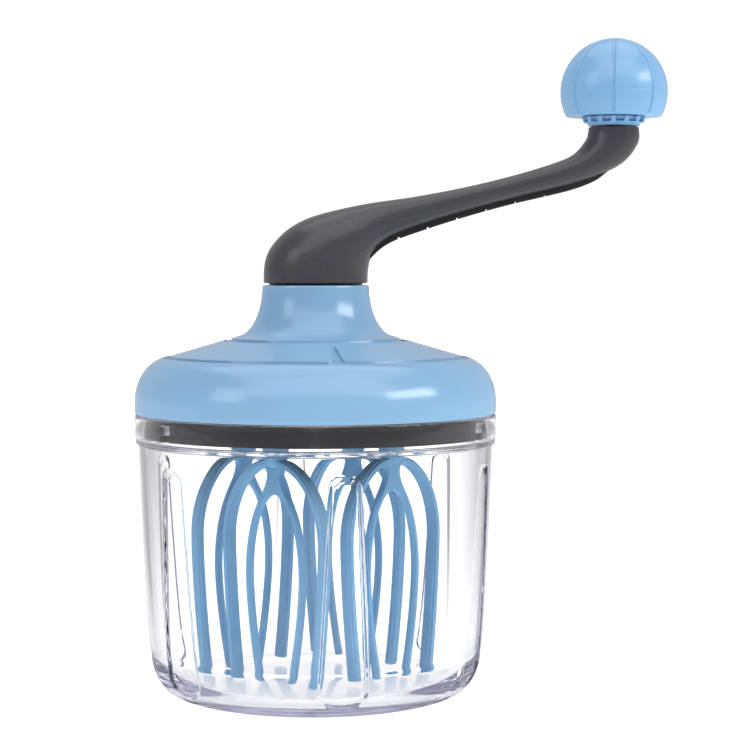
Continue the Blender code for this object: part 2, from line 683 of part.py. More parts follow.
def make_drive_gear():
    gear = plate("drive_gear", gear_outline(DRIVE_TEETH, WHISK_FIRST_ANGLE), GEAR_LOW, GEAR_HIGH)
    bore = cylinder("drive_gear_bore", HEX_HOLE_RADIUS, GEAR_LOW - OVERSHOOT, GEAR_HIGH + OVERSHOOT,
                    segments=HEX)
    return finish_part(combine(gear, bore), "drive_gear", "white_nylon")


def make_pinions():
    """Four pinions, each turned so that one of its gaps faces a tooth of the drive gear."""
    for number, angle in enumerate(whisk_angles(), 1):
        at = polar(WHISK_RING_RADIUS, angle)
        name = f"pinion_{number}"
        outline = gear_outline(PINION_TEETH, angle + math.pi + math.pi / PINION_TEETH)
        gear = plate(name, [(x + at[0], y + at[1]) for x, y in outline], GEAR_LOW, GEAR_HIGH)
        middle = (GEAR_LOW + GEAR_HIGH) / 2
        spindle = cylinder(f"{name}_spindle", SPINDLE_RADIUS, SPINDLE_LOW, middle, at=at,
                           segments=SMALL_ROUND)
        combine(gear, spindle, "UNION")
        top_pin = cylinder(f"{name}_top_pin", TOP_PIN_RADIUS, middle + MM, TOP_PIN_HIGH, at=at,
                           segments=SMALL_ROUND)
        combine(gear, top_pin, "UNION")
        bm = bmesh.new()
        low = SPINDLE_LOW - OVERSHOOT
        centre = (*at, (low + SOCKET_HIGH) / 2)
        add_box(bm, (SOCKET_SIDE, SOCKET_SIDE, SOCKET_HIGH - low), centre, angle + WHISK_PLANE_TURN)
        combine(gear, mesh_object(f"{name}_socket", bm))
        pinion = settled(gear, name)
        pinion.data.transform(Matrix.Translation((-at[0], -at[1], 0)))
        pinion.location = (*at, 0)
        finish_part(pinion, name, "white_nylon")


# ---------------------------------------------------------------- crank


def make_shaft():
    shaft = cylinder("drive_shaft", SHAFT_HEX_RADIUS, SHAFT_LOW, SHAFT_HIGH, segments=HEX)
    combine(shaft, cylinder("shaft_journal", JOURNAL_RADIUS, JOURNAL_LOW, JOURNAL_HIGH), "UNION")
    combine(shaft, cylinder("shaft_screw_hole", GEAR_SCREW_RADIUS + GAP, SHAFT_LOW - OVERSHOOT,
                            GEAR_SCREW_HIGH + GAP, segments=SMALL_ROUND))
    return finish_part(shaft, "drive_shaft", "steel")


def make_gear_fasteners():
    washer_high = GEAR_LOW - GAP
    washer_low = washer_high - GEAR_WASHER_THICKNESS
    hole = GEAR_SCREW_RADIUS + GAP
    washer = turned("gear_washer", [(GEAR_WASHER_RADIUS, washer_high), (GEAR_WASHER_RADIUS, washer_low),
                                    (hole, washer_low), (hole, washer_high)], SMALL_ROUND)
    finish_part(washer, "gear_washer", "steel")
    head_high = washer_low - GAP
    head_low = head_high - GEAR_SCREW_HEAD_HEIGHT
    screw = turned("gear_screw", [(0, GEAR_SCREW_HIGH), (GEAR_SCREW_RADIUS, GEAR_SCREW_HIGH - MM),
                                  (GEAR_SCREW_RADIUS, head_high), (GEAR_SCREW_HEAD_RADIUS, head_high),
                                  (GEAR_SCREW_HEAD_RADIUS, head_low), (0, head_low)], SMALL_ROUND)
    finish_part(screw, "gear_screw", "steel")


def spine_line():
    return smooth(SPINE_CONTOUR, CURVE_STEPS)


def spine_band(drop, rise, reach):
    """The strip between the spine's contour moved down by drop and up by rise, reach longer at both ends."""
    line = spine_line()
    start, end = line[0], line[-1]
    line = [(start[0] + reach, start[1]), *line[1:-1], (end[0] - reach, end[1])]
    return [(x, z - drop) for x, z in line] + [(x, z + rise) for x, z in line[::-1]]


def make_arm():
    upper = smooth(ARM_UPPER, CURVE_STEPS)
    lower = [(x, z + SPINE_PROUD) for x, z in spine_line()]
    end_side = KNOB_X + ARM_END_RADIUS + OVERSHOOT
    end_centre = (end_side - ARM_END_CORNER[0], ARM_END_CORNER_HIGH)
    corner = ellipse_arc(end_centre, ARM_END_CORNER, 0, -60, CURVE_STEPS)
    hub_centre = (HUB_RADIUS + HUB_CORNER[0], HUB_CORNER_LOW)
    hub_corner = ellipse_arc(hub_centre, HUB_CORNER, 115, 180, CURVE_STEPS)
    side = [*upper, (end_side, upper[-1][1]), *corner, *lower, *hub_corner, (HUB_RADIUS, HUB_LOW)]
    arm = plate("crank_arm", side, -HUB_RADIUS - OVERSHOOT, HUB_RADIUS + OVERSHOOT, upright=True)
    taper = [(x * MM, y * MM) for x, y in ARM_HALF_WIDTHS]
    tip = ARM_END_RADIUS - ARM_END_INSET
    end = ellipse_arc((KNOB_X, 0), (tip, tip), -90, 90, ARM_TIP_STEPS)
    hub = ellipse_arc((0, 0), (HUB_RADIUS, HUB_RADIUS), *HUB_SPAN, HUB_STEPS)
    plan = [*[(x, -y) for x, y in taper], *end, *[(x, y) for x, y in taper[::-1]], *hub]
    combine(arm, plate("arm_plan", plan, HUB_LOW - OVERSHOOT, ARM_END_HIGH + OVERSHOOT), "INTERSECT")
    neck = cylinder("arm_neck", ARM_END_RADIUS, KNOB_PIN_LOW - MM, ARM_END_HIGH, at=(KNOB_X, 0))
    combine(arm, neck, "UNION")
    half_channel = SPINE_WIDTH / 2 + GAP
    channel = plate("arm_channel", spine_band(OVERSHOOT, SPINE_DEPTH + GAP, GAP), -half_channel, half_channel,
                    upright=True)
    combine(arm, channel)
    combine(arm, cylinder("arm_socket", HEX_HOLE_RADIUS, HUB_LOW - OVERSHOOT, SHAFT_HIGH + GAP, segments=HEX))
    combine(arm, cylinder("arm_pin_hole", KNOB_PIN_RADIUS + GAP, KNOB_PIN_LOW - GAP, ARM_END_HIGH + OVERSHOOT,
                          at=(KNOB_X, 0), segments=SMALL_ROUND))
    return finish_part(arm, "crank_arm", "dark_grey")


def make_spine():
    half_width = SPINE_WIDTH / 2
    spine = plate("crank_spine", spine_band(0, SPINE_DEPTH, 0), -half_width, half_width, upright=True)
    line = sorted(spine_line())
    bm = bmesh.new()
    for k in range(SPINE_SLOTS):
        x = SPINE_SLOT_FIRST + k * SPINE_SLOT_PITCH
        bottom = np.interp(x, [point[0] for point in line], [point[1] for point in line])
        add_box(bm, (SPINE_SLOT_WIDTH, SPINE_WIDTH + OVERSHOOT, 2 * SPINE_SLOT_DEPTH), (x, 0, bottom))
    combine(spine, mesh_object("spine_slots", bm))
    return finish_part(spine, "crank_spine", "dark_grey")


# ---------------------------------------------------------------- knob


def make_knob():
    cut_angle = math.degrees(math.asin((KNOB_CUT - KNOB_CENTRE_Z) / KNOB_RADIUS))
    ball = ellipse_arc((0, KNOB_CENTRE_Z), (KNOB_RADIUS, KNOB_RADIUS), 90, cut_angle, BALL_ARC_STEPS)
    ball[0] = (0, ball[0][1])
    profile = [*ball, (KNOB_CAVITY_RADIUS, KNOB_CUT), (KNOB_CAVITY_RADIUS, KNOB_CAVITY_SIDE_HIGH),
               (0, KNOB_CAVITY_HIGH)]
    knob = turned("knob_ball", profile, LARGE_ROUND)
    knob.location.x = KNOB_X
    finish_part(knob, "knob_ball", "lid_blue")


def make_knob_collar():
    collar_high = KNOB_CUT - GAP
    outline = []
    pitch = 2 * math.pi / COLLAR_RIBS
    for middle in around(COLLAR_RIBS):
        outline += [polar(radius, middle + share * pitch) for radius, share in COLLAR_RIB_POINTS]
    collar = plate("knob_collar", outline, KNOB_COLLAR_LOW, collar_high)
    plug = cylinder("collar_plug", KNOB_CAVITY_RADIUS - GAP, collar_high - MM, KNOB_PIN_HIGH - MM)
    combine(collar, plug, "UNION")
    foot = cylinder("collar_foot", KNOB_COLLAR_STEP, KNOB_COLLAR_FOOT, KNOB_COLLAR_LOW + MM)
    combine(collar, foot, "UNION")
    combine(collar, cylinder("collar_bore", KNOB_PIN_RADIUS + GAP, KNOB_COLLAR_FOOT - OVERSHOOT,
                             KNOB_PIN_HIGH + OVERSHOOT, segments=SMALL_ROUND))
    collar.location.x = KNOB_X
    for modifier in collar.modifiers:
        modifier.object.location.x = KNOB_X
    finish_part(collar, "knob_collar", "lid_blue")


def make_knob_fasteners():
    hole = KNOB_SCREW_RADIUS + GAP
    hole_low = KNOB_SCREW_LOW - GAP
    pin = turned("knob_pin", [(0, hole_low), (hole, hole_low), (hole, KNOB_PIN_HIGH),
                              (KNOB_PIN_RADIUS, KNOB_PIN_HIGH), (KNOB_PIN_RADIUS, KNOB_PIN_LOW),
                              (0, KNOB_PIN_LOW)], MIDDLE_ROUND)
    washer_low = KNOB_PIN_HIGH + GAP
    washer_high = washer_low + KNOB_WASHER_THICKNESS
    washer = turned("knob_washer", [(KNOB_WASHER_RADIUS, washer_high), (KNOB_WASHER_RADIUS, washer_low),
                                    (hole, washer_low), (hole, washer_high)], MIDDLE_ROUND)
    head_low = washer_high + GAP
    head_high = head_low + KNOB_SCREW_HEAD_HEIGHT
    screw = turned("knob_screw", [(0, head_high), (KNOB_SCREW_HEAD_RADIUS, head_high),
                                  (KNOB_SCREW_HEAD_RADIUS, head_low), (KNOB_SCREW_RADIUS, head_low),
                                  (KNOB_SCREW_RADIUS, KNOB_SCREW_LOW), (0, KNOB_SCREW_LOW)], SMALL_ROUND)
    for obj in (pin, washer, screw):
        obj.location.x = KNOB_X
        finish_part(obj, obj.name, "steel")


# ---------------------------------------------------------------- whisks


def arch_outline(arch, inset):
    """One side line of an arch, from the left foot over the crown to the right foot, moved in by inset."""
    legs = []
    for height in np.linspace(WHISK_TIP, arch["spring"], LEG_STEPS + 1)[:-1]:
        drop = (arch["spring"] - height) / (arch["spring"] - WHISK_TIP)
        legs.append((arch["spread"] - (arch["spread"] - arch["foot"]) * drop**LEG_CURVE - inset, height))
    radii = (arch["spread"] - inset, arch["crown"] - arch["spring"] - inset)
    top = ellipse_arc((0, arch["spring"]), radii, 0, 180, ARCH_STEPS)
    return [*legs, *top, *[(-x, z) for x, z in legs[::-1]]]


def make_arch(name, arch):
    outline = arch_outline(arch, -arch["width"] / 2) + arch_outline(arch, arch["width"] / 2)[::-1]
    return plate(name, outline, -arch["thickness"] / 2, arch["thickness"] / 2, upright=True)


def make_whisk_mesh():
    whisk = make_arch("whisk_shape", OUTER_ARCH)
    combine(whisk, make_arch("whisk_inner_arch", INNER_ARCH), "UNION")
    bm = bmesh.new()
    post_low = INNER_ARCH["crown"] - MM
    post_high = STUB_LOW + MM
    add_box(bm, (POST_WIDTH, POST_THICKNESS, post_high - post_low), (0, 0, (post_low + post_high) / 2))
    combine(whisk, mesh_object("whisk_post", bm), "UNION")
    stub = cylinder("whisk_stub", STUB_RADIUS, STUB_LOW - MM, STUB_HIGH, segments=SMALL_ROUND)
    combine(whisk, stub, "UNION")
    bm = bmesh.new()
    add_box(bm, (PEG_SIDE, PEG_SIDE, PEG_HIGH - STUB_LOW), (0, 0, (PEG_HIGH + STUB_LOW) / 2))
    combine(whisk, mesh_object("whisk_peg", bm), "UNION")
    return settled(whisk, "whisk_baked")


def make_whisks():
    shape = make_whisk_mesh()
    for number, angle in enumerate(whisk_angles(), 1):
        whisk = bpy.data.objects.new(f"whisk_{number}", shape.data.copy())
        whisk.location = (*polar(WHISK_RING_RADIUS, angle), 0)
        whisk.rotation_euler.z = angle + WHISK_PLANE_TURN
        finish_part(whisk, f"whisk_{number}", "whisk_blue")
    bpy.data.objects.remove(shape)


# ---------------------------------------------------------------- the whole

clear_scene()
PARTS = new_collection("Egg beater")
CUTTERS = new_collection("Cutters")
make_bowl()
make_seal()
make_lid_shell()
make_base_plate()
make_bush()
make_base_screws()
make_drive_gear()
make_pinions()
make_whisks()
make_shaft()
make_gear_fasteners()
make_arm()
make_spine()
make_knob()
make_knob_collar()
make_knob_fasteners()
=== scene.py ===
"""Looks of the hand-cranked egg beater: moulded shells, a lofted crank arm, swept whisks and a studio."""

import json
import math

import bmesh
import bpy
import numpy as np
from mathutils import Matrix, Vector


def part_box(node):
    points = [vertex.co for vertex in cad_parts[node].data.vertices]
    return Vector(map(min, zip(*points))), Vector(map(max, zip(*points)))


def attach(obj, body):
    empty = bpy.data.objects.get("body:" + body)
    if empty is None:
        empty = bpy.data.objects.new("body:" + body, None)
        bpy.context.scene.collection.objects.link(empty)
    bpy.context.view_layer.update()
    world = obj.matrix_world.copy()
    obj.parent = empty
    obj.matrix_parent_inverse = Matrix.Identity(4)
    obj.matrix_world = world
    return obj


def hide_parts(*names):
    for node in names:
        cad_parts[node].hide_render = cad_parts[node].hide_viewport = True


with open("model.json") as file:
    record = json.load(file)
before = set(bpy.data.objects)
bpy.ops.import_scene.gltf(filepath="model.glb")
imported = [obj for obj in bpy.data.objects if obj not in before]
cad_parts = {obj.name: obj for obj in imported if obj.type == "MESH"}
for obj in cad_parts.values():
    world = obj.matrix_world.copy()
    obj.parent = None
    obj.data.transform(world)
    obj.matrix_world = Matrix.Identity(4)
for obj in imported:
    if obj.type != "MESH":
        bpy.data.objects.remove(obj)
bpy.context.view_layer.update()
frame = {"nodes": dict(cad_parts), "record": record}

MM = 0.001
AXES = (Vector((1, 0, 0)), Vector((0, 1, 0)), Vector((0, 0, 1)))

# ---------------------------------------------------------------- places, from the frame

BOWL_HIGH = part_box("bowl")[1]
LID_LOW, LID_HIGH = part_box("lid_shell")
PLATE_LOW, PLATE_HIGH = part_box("base_plate")
ARM_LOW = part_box("crank_arm")[0]
BALL_LOW, BALL_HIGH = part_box("knob_ball")
COLLAR_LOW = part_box("knob_collar")[0]
SEAL_LOW, SEAL_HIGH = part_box("lid_seal")
WHISKS = (1, 2, 3, 4)

LID_RADIUS = LID_HIGH[0]
COLLAR_RADIUS = BOWL_HIGH[0]
RIM_Z = BOWL_HIGH[2]
NECK_Z = LID_HIGH[2]
KNOB_X = (BALL_LOW[0] + BALL_HIGH[0]) / 2
KNOB_RADIUS = (BALL_HIGH[0] - BALL_LOW[0]) / 2
KNOB_CENTRE_Z = BALL_HIGH[2] - KNOB_RADIUS


# ---------------------------------------------------------------- mesh helpers


def new_object(name, mesh):
    obj = bpy.data.objects.new(name, mesh)
    bpy.context.scene.collection.objects.link(obj)
    return obj


def finished(name, bm, sharp=35):
    """An object from a bmesh, its faces turned outwards and shaded smooth up to an angle in degrees."""
    bmesh.ops.remove_doubles(bm, verts=bm.verts, dist=0.001 * MM)
    bmesh.ops.recalc_face_normals(bm, faces=bm.faces)
    mesh = bpy.data.meshes.new(name)
    bm.to_mesh(mesh)
    bm.free()
    mesh.shade_smooth()
    mesh.set_sharp_from_angle(angle=math.radians(sharp))
    return new_object(name, mesh)


def lofted(name, rings, sharp=35):
    """A solid through rings of points, each ring closed on itself, with a face over both ends."""
    bm = bmesh.new()
    loops = [[bm.verts.new(point) for point in ring] for ring in rings]
    for low, high in zip(loops, loops[1:]):
        for k in range(len(low)):
            after = (k + 1) % len(low)
            bm.faces.new((low[k], low[after], high[after], high[k]))
    bm.faces.new(loops[0])
    bm.faces.new(loops[-1])
    return finished(name, bm, sharp)


def turned(name, profile, angles, warp=None, sharp=35):
    """A turned solid from (radius, height) points.

    An end on the axis is closed, and a profile with neither end on the axis is closed on itself, as a ring.
    warp(radius, height, angle) gives a point's own radius and height at an angle.
    """
    bm = bmesh.new()
    columns = []
    for angle in angles:
        column = []
        for radius, height in profile:
            r, z = warp(radius, height, angle) if warp and radius > 0 else (radius, height)
            column.append(bm.verts.new((r * math.cos(angle), r * math.sin(angle), z)))
        columns.append(column)
    rows = len(profile)
    is_ring = profile[0][0] > 0 and profile[-1][0] > 0
    for k, column in enumerate(columns):
        after = columns[(k + 1) % len(columns)]
        for i in range(rows if is_ring else rows - 1):
            j = (i + 1) % rows
            bm.faces.new((column[i], column[j], after[j], after[i]))
    bmesh.ops.dissolve_degenerate(bm, dist=0.0001 * MM, edges=bm.edges)
    return finished(name, bm, sharp)


def even_angles(count, first=0.0):
    return [first + 2 * math.pi * k / count for k in range(count)]


def ellipse_arc(centre, radii, start, end, steps):
    angles = np.radians(np.linspace(start, end, steps + 1))
    return [(centre[0] + radii[0] * math.cos(a), centre[1] + radii[1] * math.sin(a)) for a in angles]


CORNER_STEPS = 4


def rounded(points):
    """A polyline of (radius, height, corner radius) points with each corner turned into an arc."""
    out = []
    for k, (x, y, corner) in enumerate(points):
        here = Vector((x, y))
        if not corner or k in (0, len(points) - 1):
            out.append((x, y))
            continue
        before = Vector(points[k - 1][:2]) - here
        after = Vector(points[k + 1][:2]) - here
        half = before.angle(after) / 2
        reach = min(corner / math.tan(half), before.length / 2, after.length / 2)
        start = here + before.normalized() * reach
        end = here + after.normalized() * reach
        for t in (step / CORNER_STEPS for step in range(CORNER_STEPS + 1)):
            point = start.lerp(here, t).lerp(here.lerp(end, t), t)
            out.append((point.x, point.y))
    return out


def dense(points, step):
    """The polyline with points added so that none is further than step from the next."""
    out = [points[0]]
    for a, b in zip(points, points[1:]):
        count = max(1, math.ceil(math.dist(a, b) / step))
        out += [tuple(a[i] + (b[i] - a[i]) * k / count for i in range(2)) for k in range(1, count + 1)]
    return out


def spline(rows, steps):
    """A Catmull-Rom curve through rows of numbers of any length."""
    rows = np.array(rows, float)
    ends = np.vstack([2 * rows[0] - rows[1], rows, 2 * rows[-1] - rows[-2]])
    out = []
    for a, b, c, d in zip(ends, ends[1:], ends[2:], ends[3:]):
        for t in np.arange(steps) / steps:
            straight = 2 * b + (c - a) * t
            bend = (2 * a - 5 * b + 4 * c - d) * t**2 + (3 * b - a - 3 * c + d) * t**3
            out.append((straight + bend) / 2)
    return [*out, rows[-1]]


def soft_step(value, low, high):
    t = min(1.0, max(0.0, (value - low) / (high - low)))
    return t * t * (3 - 2 * t)


def angle_gap(angle, target):
    """The signed angle from target to angle, between -pi and pi."""
    return (angle - target + math.pi) % (2 * math.pi) - math.pi


def apply_modifiers(obj):
    graph = bpy.context.evaluated_depsgraph_get()
    mesh = bpy.data.meshes.new_from_object(obj.evaluated_get(graph))
    obj.modifiers.clear()
    obj.data = mesh


def cut(obj, cutter, operation="DIFFERENCE"):
    """Cuts another object out of an object, or joins it on, and removes the other."""
    boolean = obj.modifiers.new("cut", "BOOLEAN")
    boolean.operation = operation
    boolean.solver = "EXACT"
    boolean.object = cutter
    bpy.context.view_layer.update()
    apply_modifiers(obj)
    bpy.data.objects.remove(cutter)


def bars(name, radius, low, high, places):
    """Round bars between two heights at (x, y) places, as one cutter."""
    bm = bmesh.new()
    for x, y in places:
        place = Matrix.Translation((x, y, (low + high) / 2))
        size = {"radius1": radius, "radius2": radius, "depth": high - low}
        bmesh.ops.create_cone(bm, cap_ends=True, segments=48, matrix=place, **size)
    return finished(name, bm)


def add_to(obj, body, slot, material, *nodes):
    """Gives a finished piece its material and its body, and hides the nodes that it stands for; slot is not
    used.
    """
    obj.data.materials.clear()
    obj.data.materials.append(material)
    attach(obj, body)
    if nodes:
        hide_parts(*nodes)
    return obj


# ---------------------------------------------------------------- materials


def new_material(name):
    """(material, its Principled shader, a function that adds a node and sets its values)."""
    material = bpy.data.materials.new(name)
    material.use_nodes = True
    tree = material.node_tree
    shader = tree.nodes["Principled BSDF"]

    def add(kind, **values):
        node = tree.nodes.new(kind)
        for key, value in values.items():
            if key in node.inputs:
                node.inputs[key].default_value = value
            else:
                setattr(node, key, value)
        return node

    return material, shader, add


def node_math(tree, operation, *values):
    """A math node's result, from constants or outputs."""
    node = tree.nodes.new("ShaderNodeMath")
    node.operation = operation
    for socket, value in zip(node.inputs, values):
        if isinstance(value, (int, float)):
            socket.default_value = value
        else:
            tree.links.new(value, socket)
    return node.outputs["Value"]


def straight_rays(tree):
    """Shares of gloss and of transmission, for rays that no matt surface has scattered yet."""
    path = tree.nodes.new("ShaderNodeLightPath")
    direct = node_math(tree, "LESS_THAN", path.outputs["Diffuse Depth"], 0.5)
    kinds = ("Is Glossy Ray", "Is Transmission Ray")
    return [node_math(tree, "MULTIPLY", path.outputs[kind], direct) for kind in kinds]


def scaled(color, factor):
    return (*[min(1.0, channel * factor) for channel in color], 1)


def moulded_plastic(name, color, roughness, grain, variation=0.03, grain_scale=900.0, specular=0.5):
    """Injection-moulded plastic: faint flow clouds in its colour, uneven gloss and a very fine skin grain."""
    material, shader, add = new_material(name)
    links = material.node_tree.links
    place = add("ShaderNodeTexCoord")
    clouds = add("ShaderNodeTexNoise", Scale=28.0, Detail=3.0)
    links.new(place.outputs["Object"], clouds.inputs["Vector"])
    tint = add("ShaderNodeValToRGB")
    tint.color_ramp.elements[0].color = scaled(color, 1 - variation)
    tint.color_ramp.elements[1].color = scaled(color, 1 + variation)
    links.new(clouds.outputs["Fac"], tint.inputs["Fac"])
    links.new(tint.outputs["Color"], shader.inputs["Base Color"])
    gloss = add("ShaderNodeTexNoise", Scale=60.0, Detail=4.0)
    links.new(place.outputs["Object"], gloss.inputs["Vector"])
    span = add("ShaderNodeMapRange")
    span.inputs["To Min"].default_value = roughness * (1 - GLOSS_SPREAD)
    span.inputs["To Max"].default_value = roughness * (1 + GLOSS_SPREAD)
    links.new(gloss.outputs["Fac"], span.inputs["Value"])
    links.new(span.outputs["Result"], shader.inputs["Roughness"])
    skin = add("ShaderNodeTexNoise", Scale=grain_scale, Detail=2.0)
    links.new(place.outputs["Object"], skin.inputs["Vector"])
    bump = add("ShaderNodeBump", Strength=grain, Distance=0.2 * MM)
    links.new(skin.outputs["Fac"], bump.inputs["Height"])
    links.new(bump.outputs["Normal"], shader.inputs["Normal"])
    shader.inputs["IOR"].default_value = PLASTIC_IOR
    shader.inputs["Specular IOR Level"].default_value = specular
    return material


def clear_plastic():
    """Clear moulded plastic, faintly violet where it is thick, with slight ripples from the mould."""
    material, shader, add = new_material("clear_plastic")
    links = material.node_tree.links
    shader.inputs["Base Color"].default_value = CLEAR
    shader.inputs["Roughness"].default_value = 0.0
    shader.inputs["Transmission Weight"].default_value = 1.0
    shader.inputs["IOR"].default_value = CLEAR_IOR
    place = add("ShaderNodeTexCoord")
    ripple = add("ShaderNodeTexNoise", Scale=35.0, Detail=1.0)
    links.new(place.outputs["Object"], ripple.inputs["Vector"])
    bump = add("ShaderNodeBump", Strength=0.04, Distance=0.4 * MM)
    links.new(ripple.outputs["Fac"], bump.inputs["Height"])
    links.new(bump.outputs["Normal"], shader.inputs["Normal"])
    tint = add("ShaderNodeVolumeAbsorption", Color=THICK_TINT, Density=THICK_DENSITY)
    links.new(tint.outputs["Volume"], material.node_tree.nodes["Material Output"].inputs["Volume"])
    return material


def turned_steel(name):
    """Machined steel with fine turning marks round the Z axis."""
    material, shader, add = new_material(name)
    links = material.node_tree.links
    shader.inputs["Base Color"].default_value = STEEL
    shader.inputs["Metallic"].default_value = 1.0
    place = add("ShaderNodeTexCoord")
    marks = add("ShaderNodeTexWave", bands_direction="Z", Scale=900.0, Distortion=1.5, Detail=2.0)
    links.new(place.outputs["Object"], marks.inputs["Vector"])
    span = add("ShaderNodeMapRange")
    span.inputs["To Min"].default_value = 0.22
    span.inputs["To Max"].default_value = 0.4
    links.new(marks.outputs["Fac"], span.inputs["Value"])
    links.new(span.outputs["Result"], shader.inputs["Roughness"])
    bump = add("ShaderNodeBump", Strength=0.1, Distance=0.05 * MM)
    links.new(marks.outputs["Fac"], bump.inputs["Height"])
    links.new(bump.outputs["Normal"], shader.inputs["Normal"])
    return material


PLASTIC_IOR = 1.49
# how far a plastic's roughness wanders, as a share of it
GLOSS_SPREAD = 0.12
CLEAR_IOR = 1.46
CLEAR = (0.985, 0.985, 0.99, 1)
# what the clear plastic takes from light that goes a long way through it
THICK_TINT = (0.55, 0.52, 0.75, 1)
THICK_DENSITY = 7.0
LID_BLUE = (0.196, 0.358, 0.525)
KNOB_BLUE = (0.190, 0.385, 0.60)
WHISK_BLUE = (0.18, 0.45, 0.73)
ARM_GREY = (0.052, 0.050, 0.053)
# the arm's grey at under half its brightness, for the strip and the step under the arm: painted shade
UNDER_ARM_PAINTED_SHADE_GREY = (0.024, 0.023, 0.026)
BAND_GREY = (0.046, 0.044, 0.047)
NYLON = (0.78, 0.77, 0.73)
SILICONE = (0.72, 0.73, 0.74)
STEEL = (0.55, 0.56, 0.58, 1)
ARM_SKIN = {"variation": 0.06, "grain_scale": 1400.0}

clear = clear_plastic()
lid_plastic = moulded_plastic("lid_plastic", LID_BLUE, 0.15, grain=0.03)
knob_plastic = moulded_plastic("knob_plastic", KNOB_BLUE, 0.24, grain=0.03)
whisk_plastic = moulded_plastic("whisk_plastic", WHISK_BLUE, 0.33, grain=0.03)
arm_plastic = moulded_plastic("arm_plastic", ARM_GREY, 0.27, grain=0.04, specular=0.36, **ARM_SKIN)
# the arm's plastic made darker and duller for the strip and the step under the arm: painted shade
under_arm_painted_shade_plastic = moulded_plastic("under_arm_painted_shade_plastic", UNDER_ARM_PAINTED_SHADE_GREY, 0.4, grain=0.06, specular=0.2, **ARM_SKIN)
band_plastic = moulded_plastic("band_plastic", BAND_GREY, 0.25, variation=0.06, grain=0.04)
nylon = moulded_plastic("nylon", NYLON, 0.45, grain=0.05)
silicone = moulded_plastic("silicone", SILICONE, 0.6, grain=0.08)
steel = turned_steel("steel")


# ---------------------------------------------------------------- bowl

BASE_RADIUS = 57.5 * MM
CORNER_HIGH = 17 * MM
COLLAR_FOOT = 106.4 * MM
# the wall's radius at its low end, how much wider it is at the collar,
# and how its flare is spread over its height
WALL_RADIUS = 69.3 * MM
WALL_FLARE = 4.9 * MM
WALL_BOW = 0.62
WALL_THICKNESS = 2.7 * MM
BOWL_FLOOR = 4.8 * MM
FLUTE_CENTRES = even_angles(6, math.radians(-79.5))
FLUTE_DEPTH = 1.0 * MM
FLUTE_LOW = 6 * MM
FLUTE_END = 1.6  # how much shorter than a half circle its ends are
FLUTE_HIGH = 95 * MM
# half width of a flute's floor at its low and its high end, and how wide each of its flanks is
FLUTE_HALF = (9.2 * MM, 4.6 * MM)
FLUTE_FLANK = 1.7 * MM
LUG_ANGLES = [math.radians(angle) for angle in (-144, -24, 96)]


def flute_depth(radius, height, angle):
    """How far the outer wall is sunk at a point: a flat-bottomed flute, wider below, with rounded ends."""
    across = min(abs(angle_gap(angle, centre)) for centre in FLUTE_CENTRES) * radius
    climb = min(1.0, max(0.0, (height - FLUTE_LOW) / (FLUTE_HIGH - FLUTE_LOW)))
    half = FLUTE_HALF[0] + (FLUTE_HALF[1] - FLUTE_HALF[0]) * climb
    past_end = max(0.0, height - FLUTE_HIGH + half / FLUTE_END, FLUTE_LOW + half / FLUTE_END - height)
    reach = math.hypot(across, past_end * FLUTE_END)
    return FLUTE_DEPTH * (1 - soft_step(reach, half, half + FLUTE_FLANK))


def bowl_wall(height):
    """The outer wall's radius: it flares upwards, a little bowed outwards."""
    climb = max(0.0, (height - CORNER_HIGH) / (COLLAR_FOOT - CORNER_HIGH))
    return WALL_RADIUS + WALL_FLARE * climb**WALL_BOW


def make_bowl():
    wall_top = 103.6 * MM
    wall_heights = np.linspace(wall_top, CORNER_HIGH, 60)
    collar_inner = 72.3 * MM
    outer = rounded([
        (collar_inner, RIM_Z - 3 * MM, 0),
        (collar_inner, RIM_Z, 0.5 * MM),
        (COLLAR_RADIUS, RIM_Z, 0.7 * MM),
        (COLLAR_RADIUS, COLLAR_FOOT, 0.6 * MM),
        (74.1 * MM, COLLAR_FOOT - 0.2 * MM, 0.3 * MM),
        (74.2 * MM, COLLAR_FOOT - 0.8 * MM, 0.3 * MM),
        (COLLAR_RADIUS - 0.1 * MM, COLLAR_FOOT - 0.9 * MM, 0.4 * MM),
        (COLLAR_RADIUS - 0.2 * MM, COLLAR_FOOT - 2 * MM, 0.5 * MM),
        (bowl_wall(104 * MM), 104 * MM, 0.3 * MM),
        (bowl_wall(wall_top), wall_top, 0),
    ])
    wall = [(bowl_wall(z), z) for z in wall_heights[1:]]
    corner = ellipse_arc((BASE_RADIUS, CORNER_HIGH), (WALL_RADIUS - BASE_RADIUS, CORNER_HIGH), 0, -90, 22)[1:]
    underside = [(r * MM, 0.0) for r in (40, 20)] + [(0.0, 0.0)]
    inner_top = 18.5 * MM
    inner_radius = bowl_wall(inner_top) - WALL_THICKNESS
    inner_corner = (12 * MM, inner_top - BOWL_FLOOR)
    floor_points = [(0.0, BOWL_FLOOR)] + [(r * MM, BOWL_FLOOR) for r in (20, 40)]
    inner_arc = ellipse_arc((inner_radius - inner_corner[0], inner_top), inner_corner, -90, 0, 20)
    inner_wall = [(bowl_wall(z) - WALL_THICKNESS, z) for z in wall_heights[::-1] if z > inner_top + MM]
    step = rounded([
        inner_wall[-1] + (0,),
        (inner_wall[-1][0], 104.6 * MM, 0.8 * MM),
        (collar_inner, 106 * MM, 0.8 * MM),
        (collar_inner, 108 * MM, 0),
    ])
    profile = [*floor_points, *inner_arc, *inner_wall, *step[1:], *outer, *wall, *corner, *underside]
    outer_start = len(floor_points) + len(inner_arc) + len(inner_wall) + len(step)

    outer_wall = {(round(r, 7), round(z, 7)) for r, z in profile[outer_start:]}

    def warp(radius, height, angle):
        if (round(radius, 7), round(height, 7)) in outer_wall and height < 100 * MM:
            return radius - flute_depth(radius, height, angle), height
        return radius, height

    bowl = turned("bowl_shell", profile, even_angles(900), warp, sharp=50)
    return add_to(bowl, "bowl", "clear_plastic", clear, "bowl")


